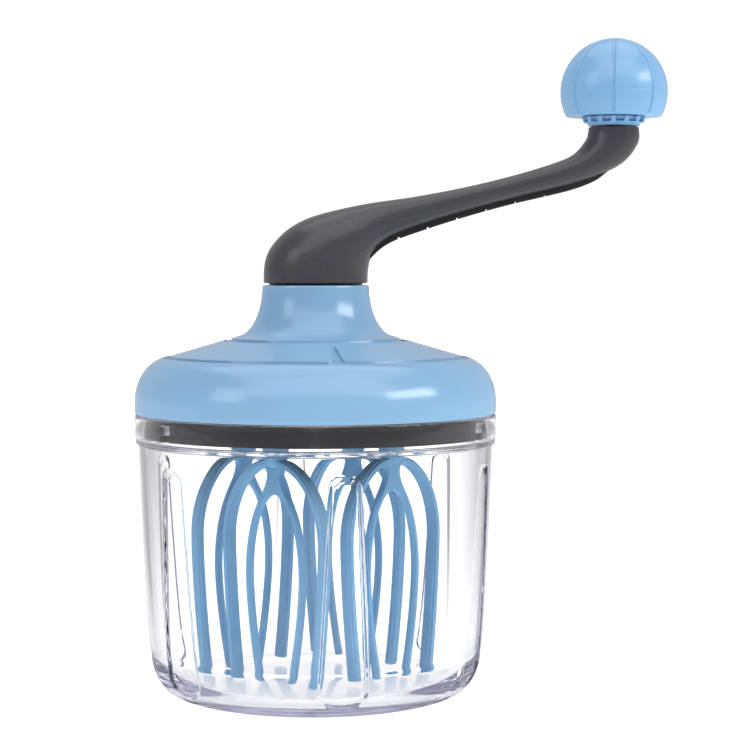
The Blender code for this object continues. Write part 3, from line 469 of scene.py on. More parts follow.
def make_lugs():
    """The three bayonet lugs inside the collar, small rounded blocks."""
    for number, angle in enumerate(LUG_ANGLES, 1):
        bm = bmesh.new()
        depth = 1.7 * MM
        size = Matrix.Diagonal((depth, 6 * MM, 3.6 * MM, 1))
        centre = (72.35 * MM - depth / 2, 0, 112.2 * MM)
        place = Matrix.Rotation(angle, 4, "Z") @ Matrix.Translation(centre)
        bmesh.ops.create_cube(bm, size=1, matrix=place @ size)
        bmesh.ops.bevel(bm, geom=bm.edges, offset=0.4 * MM, segments=3, affect="EDGES", profile=0.5)
        add_to(finished(f"bowl_lug_{number}", bm), "bowl", "clear_plastic", clear)


# ---------------------------------------------------------------- lid

FLARE_RADIUS = 33.5 * MM
FLARE_LOW = 148.6 * MM
SHOULDER_RADIUS = 60 * MM
SHOULDER_HIGH = 140.4 * MM
SHOULDER_LOW = 122 * MM
NECK_RADIUS = 22.4 * MM
GROOVE_INNER = 35.3 * MM
GROOVE_OUTER = 64.0 * MM
PAD_INNER = 38.9 * MM
PAD_OUTER = 60.6 * MM
PAD_CORNER = 3.5 * MM
GROOVE_DEPTH = 1.3 * MM
GROOVE_FLANK = (-0.08 * MM, 0.14 * MM)
CHANNELS = even_angles(3, math.radians(-79.5))
CHANNEL_HALF = math.radians(1.6)


def pad_distance(radius, angle):
    """How far outside the nearest pad a point is: a ring sector with rounded corners."""
    gap = min(abs(angle_gap(angle, channel)) for channel in CHANNELS)
    side = (gap - CHANNEL_HALF) * radius
    u = PAD_CORNER - min(radius - PAD_INNER, PAD_OUTER - radius)
    v = PAD_CORNER - side
    return math.hypot(max(u, 0), max(v, 0)) + min(max(u, v), 0) - PAD_CORNER


def groove_depth(radius, angle):
    if not GROOVE_INNER - MM < radius < GROOVE_OUTER + MM:
        return 0.0
    edge = min(radius - GROOVE_INNER, GROOVE_OUTER - radius)
    outside = pad_distance(radius, angle)
    return GROOVE_DEPTH * soft_step(edge, *GROOVE_FLANK) * soft_step(outside, *GROOVE_FLANK)


def make_lid():
    wall = 2.2 * MM
    flare = (FLARE_RADIUS - NECK_RADIUS, NECK_Z - FLARE_LOW)
    shoulder = (LID_RADIUS - SHOULDER_RADIUS, SHOULDER_HIGH - SHOULDER_LOW)
    bore = 14 * MM
    top = [(bore, NECK_Z - wall), (bore, NECK_Z), (NECK_RADIUS - 0.7 * MM, NECK_Z)]
    top += [(NECK_RADIUS - 0.2 * MM, NECK_Z - 0.2 * MM)]
    neck = ellipse_arc((FLARE_RADIUS, NECK_Z), flare, 182, 264, 40)
    arc = ellipse_arc((SHOULDER_RADIUS, SHOULDER_LOW), shoulder, 86, 0, 40)
    cone = dense([neck[-1], arc[0]], 0.16 * MM)[1:-1]
    arc = dense(arc[:14], 0.2 * MM) + arc[14:]
    edge = [(LID_RADIUS, z * MM) for z in (120.5, 119, 117.4)]
    edge += [(LID_RADIUS - 0.25 * MM, LID_LOW[2] + 0.1 * MM), (LID_RADIUS - 0.8 * MM, LID_LOW[2])]
    inner_shoulder = (shoulder[0] - wall, shoulder[1] - wall)
    inner_flare = (flare[0] + wall, flare[1] + wall)
    inner_arc = ellipse_arc((SHOULDER_RADIUS, SHOULDER_LOW), inner_shoulder, 0, 86, 14)
    inner_neck = ellipse_arc((FLARE_RADIUS, NECK_Z), inner_flare, 264, 186, 14)
    step = 118.8 * MM
    inside = [(LID_RADIUS - 0.8 * MM, step), (LID_RADIUS - wall, step), *inner_arc, *inner_neck]
    profile = [*top, *neck, *cone, *arc, *edge, *inside, (NECK_RADIUS - wall, NECK_Z - wall)]
    outer_last = len(top) + len(neck) + len(cone) + len(arc)
    outer_points = {(round(r, 7), round(z, 7)) for r, z in profile[:outer_last]}

    def warp(radius, height, angle):
        if (round(radius, 7), round(height, 7)) in outer_points:
            return radius, height - groove_depth(radius, angle)
        return radius, height

    angles = even_angles(540)
    for channel in CHANNELS:
        near = np.linspace(-4 * CHANNEL_HALF, 4 * CHANNEL_HALF, 65)
        angles += [(channel + offset) % (2 * math.pi) for offset in near]
    angles = sorted({round(angle % (2 * math.pi), 5) for angle in angles})
    lid = turned("lid_dome", profile, angles, warp, sharp=40)
    return add_to(lid, "lid", "lid_blue", lid_plastic, "lid_shell")


def make_seal():
    low, high = SEAL_LOW[2], SEAL_HIGH[2]
    inner, outer = 71.9 * MM, SEAL_HIGH[0]
    corner = 0.5 * MM
    middle = (low + high) / 2
    profile = rounded([
        (inner, middle, 0), (inner, high, corner), (outer, high, corner), (outer, low, corner),
        (inner, low, corner), (inner, middle - 0.1 * MM, 0),
    ])
    seal = turned("seal_ring", profile, even_angles(240))
    return add_to(seal, "seal", "silicone", silicone, "lid_seal")


# ---------------------------------------------------------------- base plate

PLATE_TOP = 110.5 * MM
WHISK_RING = 35 * MM
SCREW_RING = 57 * MM
WHISK_ANGLES = even_angles(4, math.radians(-26))
SPINDLE_HOLE = 5.6 * MM
SCREW_SINK = 3.7 * MM
BOSS_RADIUS = 8.4 * MM
BOSS_TOP = 115.5 * MM
SLOT_FLOOR = 69.4 * MM
SLOT_DEEP = 5 * MM
# a lug's way in and its run to the lock: turn from the lug in degrees, length, bottom and top
LUG_SLOTS = (
    (0, 7.2 * MM, PLATE_LOW[2] - 2 * MM, 114.6 * MM),
    (7.5, 25.6 * MM, 109.95 * MM, 114.45 * MM),
)


def ring_places(radius, angles):
    return [(radius * math.cos(angle), radius * math.sin(angle)) for angle in angles]


def make_base_plate():
    low, high = PLATE_LOW[2], PLATE_HIGH[2]
    band, inner = PLATE_HIGH[0], 67.4 * MM
    profile = rounded([
        (0, PLATE_TOP, 0), (inner, PLATE_TOP, 0.8 * MM), (inner, high, 0.4 * MM), (band, high, 0.4 * MM),
        (band, low, 0.6 * MM), (band - 9 * MM, low, 0), (0, low, 0),
    ])
    plate = turned("lid_base", profile[::-1], even_angles(240), sharp=30)
    cut(plate, bars("holes", SPINDLE_HOLE, low - MM, PLATE_TOP + MM, ring_places(WHISK_RING, WHISK_ANGLES)))
    screw_angles = [angle + math.pi / 4 for angle in WHISK_ANGLES]
    cut(plate, bars("sinks", SCREW_SINK, low - MM, low + 2 * MM, ring_places(SCREW_RING, screw_angles)))
    for turn, length, bottom, top in LUG_SLOTS:
        bm = bmesh.new()
        for angle in LUG_ANGLES:
            size = Matrix.Diagonal((SLOT_DEEP, length, top - bottom, 1))
            place = Matrix.Rotation(angle + math.radians(turn), 4, "Z")
            place = place @ Matrix.Translation((SLOT_FLOOR + SLOT_DEEP / 2, 0, (top + bottom) / 2))
            bmesh.ops.create_cube(bm, size=1, matrix=place @ size)
        cut(plate, finished("slots", bm))
    plate.data.set_sharp_from_angle(angle=math.radians(30))
    add_to(plate, "lid", "dark_plastic", band_plastic, "base_plate")
    for number, (x, y) in enumerate(ring_places(WHISK_RING, WHISK_ANGLES), 1):
        outline = rounded([
            (SPINDLE_HOLE, BOSS_TOP, 0), (BOSS_RADIUS, BOSS_TOP, 0.5 * MM), (BOSS_RADIUS, PLATE_TOP, 0),
        ])
        boss = turned(f"spindle_boss_{number}", [*outline, (SPINDLE_HOLE, PLATE_TOP)], even_angles(48))
        boss.data.transform(Matrix.Translation((x, y, 0)))
        add_to(boss, "lid", "dark_plastic", band_plastic)


# ---------------------------------------------------------------- crank arm

# upper contour x and z, lower contour x and z, width across, and how square the section is, in millimetres
ARM_SECTIONS = (
    (-21.8, 170.7, 21.7, 170.7, 43.5, 2.0),
    (-21.7, 175.6, 21.8, 174.6, 43.4, 2.0),
    (-20.9, 180.9, 22.3, 178.6, 43.2, 2.0),
    (-18.2, 186.4, 23.4, 182.0, 42.2, 2.05),
    (-12.3, 192.6, 26.0, 185.8, 39.6, 2.1),
    (-4.3, 197.3, 29.4, 188.6, 35.8, 2.2),
    (5.9, 200.5, 33.8, 191.0, 31.4, 2.35),
    (21.9, 203.9, 41.0, 193.8, 27.2, 2.5),
    (41.3, 206.7, 53.0, 197.8, 24.2, 2.7),
    (62.0, 210.6, 69.0, 202.4, 22.6, 2.8),
    (81.2, 215.2, 86.0, 206.8, 21.8, 2.8),
    (98.0, 220.2, 104.5, 211.2, 21.2, 2.7),
    (107.3, 224.2, 116.5, 214.9, 21.0, 2.5),
    (112.4, 229.9, 128.2, 220.9, 21.0, 2.2),
    (113.6, 233.4, 134.4, 229.0, 21.0, 2.0),
    (113.8, 235.6, 134.8, 235.6, 21.0, 2.0),
)
# the low edge of the strip under the arm, x and z in millimetres, and the share of its full depth there
SPINE_LINE = (
    (21.3, 175.4, 0.1), (22.4, 179.0, 0.4), (24.5, 182.4, 0.9), (27.7, 185.4, 1.0), (31.1, 187.5, 1.0),
    (34.4, 189.0, 1.0), (41.1, 191.4, 1.0), (54.4, 195.8, 1.0), (67.8, 199.8, 1.0), (81.1, 203.4, 1.0),
    (94.5, 206.5, 1.0), (104.5, 208.9, 1.0), (111.1, 210.8, 0.9), (117.0, 213.2, 0.7), (121.6, 216.2, 0.4),
    (126.6, 219.8, 0.15),
)
SPINE_WIDTH = 9 * MM
SPINE_DEPTH = 3.4 * MM
SLOT_PLACES = [(34.8 + 12.15 * k) * MM for k in range(7)]
FOOT_RADIUS = 19.6 * MM


def superellipse(half_long, half_across, power):
    """Points round a superellipse as (along, across) shares of its half sizes."""
    points = []
    for angle in even_angles(64):
        c, s = math.cos(angle), math.sin(angle)
        along = math.copysign(abs(c) ** (2 / power), c) * half_long
        across = math.copysign(abs(s) ** (2 / power), s) * half_across
        points.append((along, across))
    return points


def section_ring(section, shrink=0.0, lift=0.0):
    """Points round one of the arm's sections, made smaller by shrink and raised by lift."""
    upper_x, upper_z, lower_x, lower_z, width, power = section
    upper = Vector((upper_x, 0, upper_z)) * MM
    lower = Vector((lower_x, 0, lower_z)) * MM
    middle = (upper + lower) / 2
    along = (upper - lower).normalized()
    half = (upper - lower).length / 2 - shrink
    outline = superellipse(half, width / 2 * MM - shrink, power)
    return [middle + along * a + AXES[1] * b + AXES[2] * lift for a, b in outline]


def make_arm():
    sections = spline(ARM_SECTIONS, 8)
    rings = [section_ring(sections[0], 0.9 * MM), section_ring(sections[0], 0.25 * MM, 0.12 * MM)]
    rings += [section_ring(sections[0], 0, 0.6 * MM)]
    rings += [section_ring(section) for section in sections[1:-1]]
    rings += [section_ring(sections[-1], 0, -0.5 * MM), section_ring(sections[-1], 0.2 * MM, -0.1 * MM)]
    rings += [section_ring(sections[-1], 0.6 * MM)]
    arm = lofted("arm_body", rings, sharp=60)
    return add_to(arm, "crank", "arm_plastic", arm_plastic, "crank_arm")


def make_hub_foot():
    """The narrower step under the hub, which all but meets the lid's neck."""
    inner, low, high = 8.2 * MM, NECK_Z + 0.15 * MM, ARM_LOW[2] + 2 * MM
    outline = rounded([
        (inner, high, 0), (inner, low, 0), (FOOT_RADIUS, low, 0.2 * MM), (FOOT_RADIUS, high, 0),
    ])
    foot = turned("hub_foot", outline, even_angles(120))
    # painted shade: the step under the hub gets the darker copy of the arm's plastic
    return add_to(foot, "crank", "arm_plastic", under_arm_painted_shade_plastic)


def make_spine():
    """The slotted strip under the arm, fading into it at both ends."""
    rings = []
    points = spline(SPINE_LINE, 6)
    for k, (x, z, share) in enumerate(points):
        before, after = points[max(k - 1, 0)], points[min(k + 1, len(points) - 1)]
        tangent = Vector((after[0] - before[0], 0, after[1] - before[1])).normalized()
        up = Vector((-tangent.z, 0, tangent.x))
        low = Vector((x * MM, 0, z * MM)) + up * (1 - share) * 1.2 * MM
        half = SPINE_WIDTH / 2 * (0.55 + 0.45 * share)
        outline = rounded([
            (0, 0, 0), (half, 0, 0.7 * MM), (half, SPINE_DEPTH, 0.2 * MM), (-half, SPINE_DEPTH, 0.2 * MM),
            (-half, 0, 0.7 * MM), (-0.01 * MM, 0, 0),
        ])
        rings.append([low + AXES[1] * a + up * b for a, b in outline])
    strip = lofted("crank_strip", rings, sharp=40)
    bm = bmesh.new()
    heights = np.array(points)
    for place in SLOT_PLACES:
        z = np.interp(place / MM, heights[:, 0], heights[:, 1]) * MM
        lean = math.atan2(np.interp(place / MM + 3, heights[:, 0], heights[:, 1]) * MM - z, 3 * MM)
        size = Matrix.Diagonal((0.9 * MM, SPINE_WIDTH * 1.2, 1.4 * MM, 1))
        turn = Matrix.Translation((place, 0, z)) @ Matrix.Rotation(-lean, 4, "Y")
        bmesh.ops.create_cube(bm, size=1, matrix=turn @ size)
    cut(strip, finished("strip_slots", bm))
    strip.data.set_sharp_from_angle(angle=math.radians(40))
    # painted shade: the strip under the arm gets the darker copy of the arm's plastic
    return add_to(strip, "crank", "arm_plastic", under_arm_painted_shade_plastic, "crank_spine")


def ease_edges(obj, width):
    bevel = obj.modifiers.new("eased edges", "BEVEL")
    bevel.width = width
    bevel.segments = 1
    bevel.limit_method = "ANGLE"
    bevel.angle_limit = math.radians(40)


# ---------------------------------------------------------------- knob

SEAMS = even_angles(8, math.radians(-97.3))
SEAM_HALF = 0.95 * MM
SEAM_DEPTH = 0.55 * MM


def make_knob():
    """The ball: panels between eight fine seams, and a parting line round its middle."""
    cut_height = BALL_LOW[2]
    cut_angle = math.degrees(math.asin((cut_height - KNOB_CENTRE_Z) / KNOB_RADIUS))
    bore = 9 * MM
    cut_radius = KNOB_RADIUS * math.cos(math.radians(cut_angle))
    arc = ellipse_arc((0, KNOB_CENTRE_Z), (KNOB_RADIUS, KNOB_RADIUS), 90, cut_angle + 2, 110)
    arc[0] = (0.0, BALL_HIGH[2])
    foot = rounded([arc[-1] + (0,), (cut_radius, cut_height, 1.0 * MM), (bore, cut_height, 0)])
    bore_top = 258 * MM
    inside = [(bore, bore_top - 3 * MM), (0.0, bore_top)]
    profile = [*arc, *foot[1:], *inside]

    def warp(radius, height, angle):
        if height <= cut_height + 0.5 * MM or radius <= bore and height < bore_top + MM:
            return radius, height
        outward = Vector((radius, height - KNOB_CENTRE_Z))
        across = min(abs(angle_gap(angle, seam)) for seam in SEAMS) * radius
        off_pole = soft_step(radius, 1.5 * MM, 4 * MM)
        seam = SEAM_DEPTH * (1 - soft_step(across, 0.35 * MM, SEAM_HALF)) * off_pole
        parting = 0.12 * MM * (1 - soft_step(abs(height - KNOB_CENTRE_Z), 0.1 * MM, 0.45 * MM))
        outward *= 1 - max(seam, parting) / outward.length
        return outward.x, outward.y + KNOB_CENTRE_Z

    angles = []
    for seam in SEAMS:
        angles += [seam + offset for offset in np.linspace(-0.05, 0.05, 21)]
        angles += [seam + offset for offset in np.linspace(0.05, math.pi / 4 - 0.05, 18)[1:-1]]
    knob = turned("knob_shell", profile, sorted(angle % (2 * math.pi) for angle in angles), warp, sharp=50)
    knob.data.transform(Matrix.Translation((KNOB_X, 0, 0)))
    return add_to(knob, "knob", "knob_blue", knob_plastic, "knob_ball")


def make_knob_collar():
    low, high = COLLAR_LOW[2], 239.7 * MM
    step = 237.4 * MM
    inner = 4.3 * MM
    ribs = 14
    profile = rounded([
        (inner, low + MM, 0), (inner, high, 0), (13.6 * MM, high, 0.3 * MM), (12.6 * MM, step, 0.3 * MM),
        (10.8 * MM, step, 0.3 * MM), (10.8 * MM, low, 0.3 * MM), (inner, low, 0),
    ])
    profile = [profile[0]] + dense(profile[1:], 0.4 * MM)

    def warp(radius, height, angle):
        if radius < 11.5 * MM or height < step + 0.05 * MM:
            return radius, height
        phase = (angle - SEAMS[0]) * ribs / (2 * math.pi) % 1
        rise = soft_step(abs(phase - 0.5), 0.27, 0.33)
        return radius - 1.5 * MM * (1 - rise), height

    collar = turned("knob_foot", profile, even_angles(480), warp, sharp=40)
    collar.data.transform(Matrix.Translation((KNOB_X, 0, 0)))
    return add_to(collar, "knob", "knob_blue", knob_plastic, "knob_collar")


# ---------------------------------------------------------------- whisks

# each arch: crown height, height where the arch springs from its legs, half spread there and at the feet,
# section in the arch's plane and across it
OUTER_ARCH = (98.7 * MM, 66 * MM, 27 * MM, 22 * MM, 3.5 * MM, 5.8 * MM)
INNER_ARCH = (86.8 * MM, 52 * MM, 15 * MM, 8.5 * MM, 2.9 * MM, 3.2 * MM)
WHISK_TIP = 7 * MM
# the step along each corner of a bar: its depth as a share of the width,
# and its place as a share of half the thickness
STEP_DEPTH = 0.17
STEP_PLACE = 0.62
# how a bar's end closes: share of its section, and how far in from the tip in millimetres
TIP_ROUNDING = ((0.55, 0.0), (0.82, 0.12), (0.95, 0.4), (1.0, 0.9))
# half the post's outline, across and up in millimetres: its fillets and side, then the crown it stands on
POST_SIDE = (
    (10.3, 79.3), (9.0, 81.8), (7.6, 84.1), (6.1, 86.4), (4.9, 88.5),
    (4.0, 90.6), (3.5, 92.6), (3.6, 94.4), (4.6, 95.8), (7.0, 96.8),
)
POST_CROWN = ((0.0, 86.8), (3.0, 86.1), (6.0, 83.9), (8.0, 81.4), (9.5, 79.0))
# how the post's edges are eased: how far its outline, 8 millimetres in half width, is drawn in at each level
POST_HALF = 8
POST_LEVELS = ((0.5, -1.8), (0.15, -1.65), (0.0, -1.3), (-0.08, 0.0), (0.0, 1.3), (0.15, 1.65), (0.5, 1.8))
# how far each whisk's plane is turned from the line to the beater's axis
WHISK_TURN = math.radians(74)


def arch_line(arch):
    crown, spring, spread, foot, _, _ = arch
    leg = []
    for height in np.linspace(WHISK_TIP, spring, 40)[:-1]:
        drop = (spring - height) / (spring - WHISK_TIP)
        leg.append((spread - (spread - foot) * drop**1.6, height))
    top = ellipse_arc((0, spring), (spread, crown - spring), 0, 180, 72)
    return [*leg, *top, *[(-x, z) for x, z in leg[::-1]]]


def drafted_section(width, thickness):
    """A bar's section: a flat bar with a narrower rib on each broad side, its edges a little tapered."""
    side, top = width / 2, thickness / 2
    rib = side - STEP_DEPTH * width
    quarter = rounded([
        (side, 0, 0), (side * 0.97, top * STEP_PLACE, 0.08 * width), (rib, top * (STEP_PLACE + 0.07), 0),
        (rib * 0.92, top, 0.1 * width), (0, top, 0),
    ])[:-1]
    half = quarter + [(-x, y) for x, y in quarter[::-1]]
    return half + [(x, -y) for x, y in half[-2:0:-1]]


def swept(name, line, width, thickness):
    """A bar along a line in the XZ plane, its ends a little rounded."""
    section = drafted_section(width, thickness)
    line = [Vector((x, 0, z)) for x, z in line]
    rings = []
    for k, point in enumerate(line):
        tangent = (line[min(k + 1, len(line) - 1)] - line[max(k - 1, 0)]).normalized()
        side = AXES[1].cross(tangent)
        rings.append([point + side * a + AXES[1] * b for a, b in section])
    first, last = [], []
    for end, neighbour, extra in ((0, 1, first), (-1, -2, last)):
        inward = (line[neighbour] - line[end]).normalized()
        for share, depth in TIP_ROUNDING:
            inset = inward * depth * MM
            extra.append([line[end] + (point - line[end]) * share + inset for point in rings[end]])
    return lofted(name, [*first, *rings[1:-1], *last[::-1]], sharp=14)


def make_post():
    """The flat post between the two crowns, widening in fillets where it meets each arch."""
    side = [(x * MM, z * MM) for x, z in spline(POST_SIDE, 5)]
    crown = [(x * MM, z * MM) for x, z in POST_CROWN]
    outline = [*crown, *side, (7.0 * MM, 97.8 * MM), (0.0, 98.6 * MM)]
    outline += [(-x, z) for x, z in outline[-2:0:-1]]
    rings = []
    for inset, level in POST_LEVELS:
        share = 1 - inset / POST_HALF
        rings.append([(x * share, level * MM, z) for x, z in outline])
    return lofted("post", rings, sharp=25)


def make_whisk_mesh():
    """One whisk: two arches, the post between them, the round stub and its square peg."""
    whisk = swept("outer", arch_line(OUTER_ARCH), OUTER_ARCH[4], OUTER_ARCH[5])
    stub_low, stub_high = 96.5 * MM, 107.2 * MM
    stub = rounded([
        (0, stub_high, 0), (5.3 * MM, stub_high, 0.5 * MM), (5.3 * MM, 101.2 * MM, 0.8 * MM),
        (2.6 * MM, stub_low, 0), (0, stub_low, 0),
    ])
    bm = bmesh.new()
    peg_side, peg_length, peg_middle = 5 * MM, 10.8 * MM, 110.5 * MM
    size = Matrix.Diagonal((peg_side, peg_side, peg_length, 1))
    bmesh.ops.create_cube(bm, size=1, matrix=Matrix.Translation((0, 0, peg_middle)) @ size)
    bmesh.ops.bevel(bm, geom=bm.edges, offset=0.4 * MM, segments=3, affect="EDGES", profile=0.5)
    inner = swept("inner", arch_line(INNER_ARCH), INNER_ARCH[4], INNER_ARCH[5])
    for other in (inner, make_post(), turned("stub", stub, even_angles(64)), finished("peg", bm)):
        cut(whisk, other, "UNION")
    whisk.data.set_sharp_from_angle(angle=math.radians(14))
    return whisk


def make_whisks():
    shape = make_whisk_mesh()
    for number, angle in zip(WHISKS, WHISK_ANGLES):
        whisk = new_object(f"flat_whisk_{number}", shape.data.copy())
        place = Matrix.Translation((WHISK_RING * math.cos(angle), WHISK_RING * math.sin(angle), 0))
        whisk.data.transform(place @ Matrix.Rotation(angle + WHISK_TURN, 4, "Z"))
        add_to(whisk, f"whisk_{number}", "whisk_blue", whisk_plastic, f"whisk_{number}")
    bpy.data.objects.remove(shape)


# ---------------------------------------------------------------- pieces that keep their CAD shape


def dress_inner_pieces():
    finishes = {"nylon": nylon, "steel": steel}
    slots = {entry["node"]: entry["material_slot"] for entry in frame["record"]["subparts"]}
    for name, node in frame["nodes"].items():
        if slots[name] in finishes:
            node.data.materials.clear()
            node.data.materials.append(finishes[slots[name]])
            ease_edges(node, 0.12 * MM)


# ---------------------------------------------------------------- studio

CAMERA_PLACE = (0.0248, -0.86, 0.1777)
CAMERA_SENSOR = 36
CAMERA_LENS = 98.58
CAMERA_DIP = 3.028  # degrees below the horizontal
FLOOR_HALF = 40.0
FLOOR_GAP = 0.3 * MM
FLOOR_GLOW = 0.9
# the floor is dark far in front and pale round the beater and behind it:
# two places along Y and the shade at each
FLOOR_FADE = (-0.9, -0.28, 0.16, 1.0)
# how far a direction points away from the camera, and the light from there, from the front round to the back
BACKDROP = (0.3, 0.75)
FRONT_LIGHT = (0.25, 0.245, 0.29, 1)
BACK_LIGHT = (1.12, 1.12, 1.12, 1)
# the white paper behind is out of sight of gloss, which sees this instead
GLOSS_LIGHT = (0.50, 0.50, 0.53, 1)
# light through the clear bowl finds the white paper only near straight behind, and grey beside it
PAPER_EDGE = (0.80, 0.975)
BESIDE_PAPER = (0.74, 0.73, 0.80, 1)
FRONT_THROUGH_BOWL = (0.62, 0.60, 0.72, 1)
# the floor as gloss sees it, and how it darkens sideways for light through the bowl: two distances and
# two shades, the distances taken in the plane of the beater's axis along lines from CAMERA_PLACE
FLOOR_IN_GLOSS = 0.3
FLOOR_THROUGH_BOWL = (0.05, 0.17, 0.78, 0.2)
PANEL_BLUR = 0.06
# direction, half width, half height and power of each softbox
PANELS = (
    ((0.82, -0.33, 0.42), 0.30, 0.13, 8.5),
    ((-0.74, -0.48, 0.40), 0.20, 0.22, 2.6),
    ((0.05, -0.64, 0.77), 0.8, 0.35, 1.75),
    ((0.0, 0.1, 1.0), 0.6, 0.6, 1.4),
)


def make_floor():
    bm = bmesh.new()
    level = Matrix.Translation((0, 0, -FLOOR_GAP))
    bmesh.ops.create_grid(bm, x_segments=1, y_segments=1, size=FLOOR_HALF, matrix=level)
    floor = finished("floor", bm)
    material, shader, add = new_material("floor_paper")
    noise = add("ShaderNodeTexNoise", Scale=40.0, Detail=2.0)
    tint = add("ShaderNodeValToRGB")
    tint.color_ramp.elements[0].color = (0.90, 0.90, 0.90, 1)
    tint.color_ramp.elements[1].color = (0.92, 0.92, 0.92, 1)
    tree = material.node_tree
    links = tree.links
    links.new(noise.outputs["Fac"], tint.inputs["Fac"])
    place = add("ShaderNodeTexCoord")
    split = add("ShaderNodeSeparateXYZ")
    links.new(place.outputs["Object"], split.inputs["Vector"])
    fade = add("ShaderNodeMapRange", interpolation_type="SMOOTHSTEP")
    links.new(split.outputs["Y"], fade.inputs["Value"])
    glossy, transmitted = straight_rays(tree)
    ahead = node_math(tree, "ADD", split.outputs["Y"], -CAMERA_PLACE[1])
    aside = node_math(tree, "ADD", split.outputs["X"], -CAMERA_PLACE[0])
    aside = node_math(tree, "DIVIDE", aside, ahead)
    aside = node_math(tree, "MULTIPLY_ADD", aside, -CAMERA_PLACE[1], CAMERA_PLACE[0])
    aside = node_math(tree, "ABSOLUTE", aside)
    beside = add("ShaderNodeMapRange")
    links.new(aside, beside.inputs["Value"])
    for ramp, values in ((fade, FLOOR_FADE), (beside, FLOOR_THROUGH_BOWL)):
        for name, value in zip(("From Min", "From Max", "To Min", "To Max"), values):
            ramp.inputs[name].default_value = value
    in_gloss = node_math(tree, "MULTIPLY_ADD", glossy, FLOOR_IN_GLOSS - 1, 1.0)
    seen = add("ShaderNodeMix")
    links.new(transmitted, seen.inputs[0])
    links.new(in_gloss, seen.inputs[2])
    links.new(beside.outputs["Result"], seen.inputs[3])
    seen = node_math(tree, "MULTIPLY", seen.outputs[0], fade.outputs["Result"])
    shade = add("ShaderNodeMix", data_type="RGBA", blend_type="MULTIPLY")
    shade.inputs["Factor"].default_value = 1.0
    links.new(tint.outputs["Color"], shade.inputs[6])
    links.new(seen, shade.inputs[7])
    links.new(shade.outputs[2], shader.inputs["Base Color"])
    shader.inputs["Roughness"].default_value = 0.9
    shader.inputs["Specular IOR Level"].default_value = 0.0
    links.new(shade.outputs[2], shader.inputs["Emission Color"])
    shader.inputs["Emission Strength"].default_value = FLOOR_GLOW
    floor.data.materials.append(material)


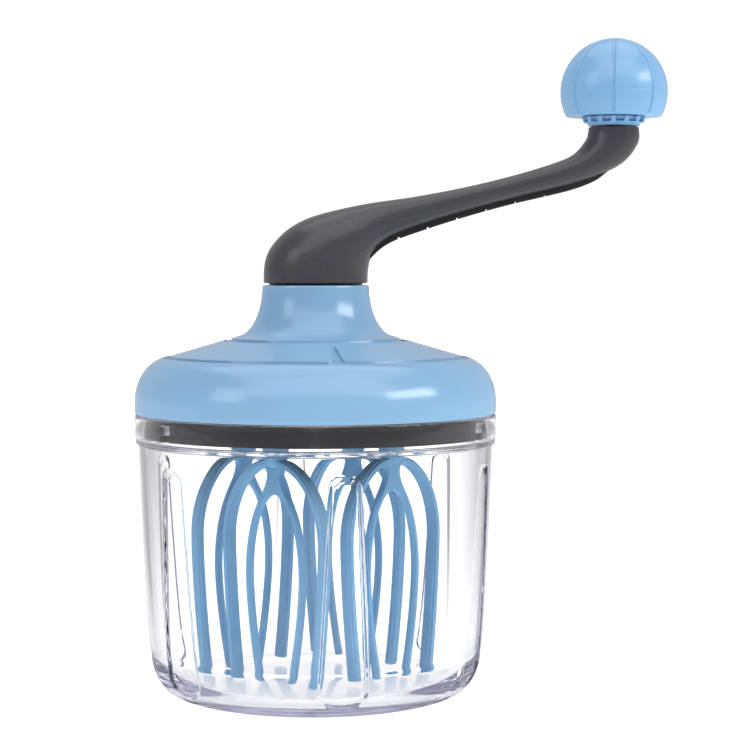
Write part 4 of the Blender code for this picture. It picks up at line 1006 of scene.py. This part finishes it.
class Sky:
    """The studio as light from each direction, built from nodes."""

    def __init__(self):
        world = bpy.data.worlds.new("studio")
        bpy.context.scene.world = world
        world.use_nodes = True
        self.tree = world.node_tree
        self.background = self.tree.nodes["Background"]
        place = self.tree.nodes.new("ShaderNodeTexCoord")
        aim = self.tree.nodes.new("ShaderNodeVectorMath")
        aim.operation = "NORMALIZE"
        self.tree.links.new(place.outputs["Generated"], aim.inputs[0])
        self.aim = aim.outputs["Vector"]

    def math(self, operation, *values):
        return node_math(self.tree, operation, *values)

    def mixed(self, share, first, second, blend="MIX"):
        """One colour blended with another, each a constant or an output."""
        node = self.tree.nodes.new("ShaderNodeMix")
        node.data_type = "RGBA"
        node.blend_type = blend
        for socket, value in zip((node.inputs[0], node.inputs[6], node.inputs[7]), (share, first, second)):
            if isinstance(value, (float, tuple)):
                socket.default_value = value
            else:
                self.tree.links.new(value, socket)
        return node.outputs[2]

    def along(self, direction):
        node = self.tree.nodes.new("ShaderNodeVectorMath")
        node.operation = "DOT_PRODUCT"
        self.tree.links.new(self.aim, node.inputs[0])
        node.inputs[1].default_value = direction
        return node.outputs["Value"]

    def ramp(self, value, low, high, at_low, at_high):
        node = self.tree.nodes.new("ShaderNodeMapRange")
        node.interpolation_type = "SMOOTHSTEP"
        self.tree.links.new(value, node.inputs["Value"])
        for name, number in (("From Min", low), ("From Max", high), ("To Min", at_low), ("To Max", at_high)):
            node.inputs[name].default_value = number
        return node.outputs["Result"]

    def panel(self, direction, half_wide, half_high, power):
        """A rectangular softbox seen in a direction, its half sizes as tangents."""
        forward = Vector(direction).normalized()
        side = forward.cross(AXES[2]).normalized()
        up = side.cross(forward)
        depth = self.along(forward)
        wide = self.math("ABSOLUTE", self.math("DIVIDE", self.along(side), depth))
        high = self.math("ABSOLUTE", self.math("DIVIDE", self.along(up), depth))
        within_width = self.ramp(wide, half_wide - PANEL_BLUR, half_wide + PANEL_BLUR, 1, 0)
        within_height = self.ramp(high, half_high - PANEL_BLUR, half_high + PANEL_BLUR, 1, 0)
        inside = self.math("MULTIPLY", within_width, within_height)
        facing = self.ramp(depth, 0.0, 0.05, 0, power)
        return self.math("MULTIPLY", inside, facing)


def make_studio():
    sky = Sky()
    glossy, transmitted = straight_rays(sky.tree)
    back = sky.mixed(glossy, BACK_LIGHT, GLOSS_LIGHT)
    room = sky.mixed(sky.ramp(sky.along(AXES[1]), *BACKDROP, 0, 1), FRONT_LIGHT, back)
    through = sky.mixed(sky.ramp(sky.along(AXES[1]), *PAPER_EDGE, 0, 1), BESIDE_PAPER, BACK_LIGHT)
    through = sky.mixed(sky.ramp(sky.along(AXES[1]), *BACKDROP, 0, 1), FRONT_THROUGH_BOWL, through)
    room = sky.mixed(transmitted, room, through)
    panels = sky.panel(*PANELS[0])
    for panel in PANELS[1:]:
        panels = sky.math("ADD", panels, sky.panel(*panel))
    total = sky.mixed(1.0, room, panels, "ADD")
    sky.tree.links.new(total, sky.background.inputs["Color"])
    sky.background.inputs["Strength"].default_value = 1.0
    make_floor()


def make_camera():
    """In front of the beater, a little above its middle and to the right of its axis."""
    camera = bpy.data.cameras.new("camera")
    camera.sensor_width = CAMERA_SENSOR
    camera.lens = CAMERA_LENS
    camera.clip_end = 20
    obj = bpy.data.objects.new("camera", camera)
    obj.location = CAMERA_PLACE
    obj.rotation_euler = (math.radians(90 - CAMERA_DIP), 0, 0)
    bpy.context.scene.collection.objects.link(obj)
    bpy.context.scene.camera = obj
    bpy.context.scene.view_settings.view_transform = "Standard"


def let_light_through_glass():
    """Enough bounces for light that runs along inside the bowl's wall."""
    cycles = bpy.context.scene.cycles
    cycles.max_bounces = 32
    cycles.glossy_bounces = 24
    cycles.transmission_bounces = 24


# ---------------------------------------------------------------- the whole

make_camera()
let_light_through_glass()
make_studio()
make_bowl()
make_lugs()
make_lid()
make_seal()
make_base_plate()
make_arm()
make_hub_foot()
make_spine()
make_knob()
make_knob_collar()
make_whisks()
dress_inner_pieces()
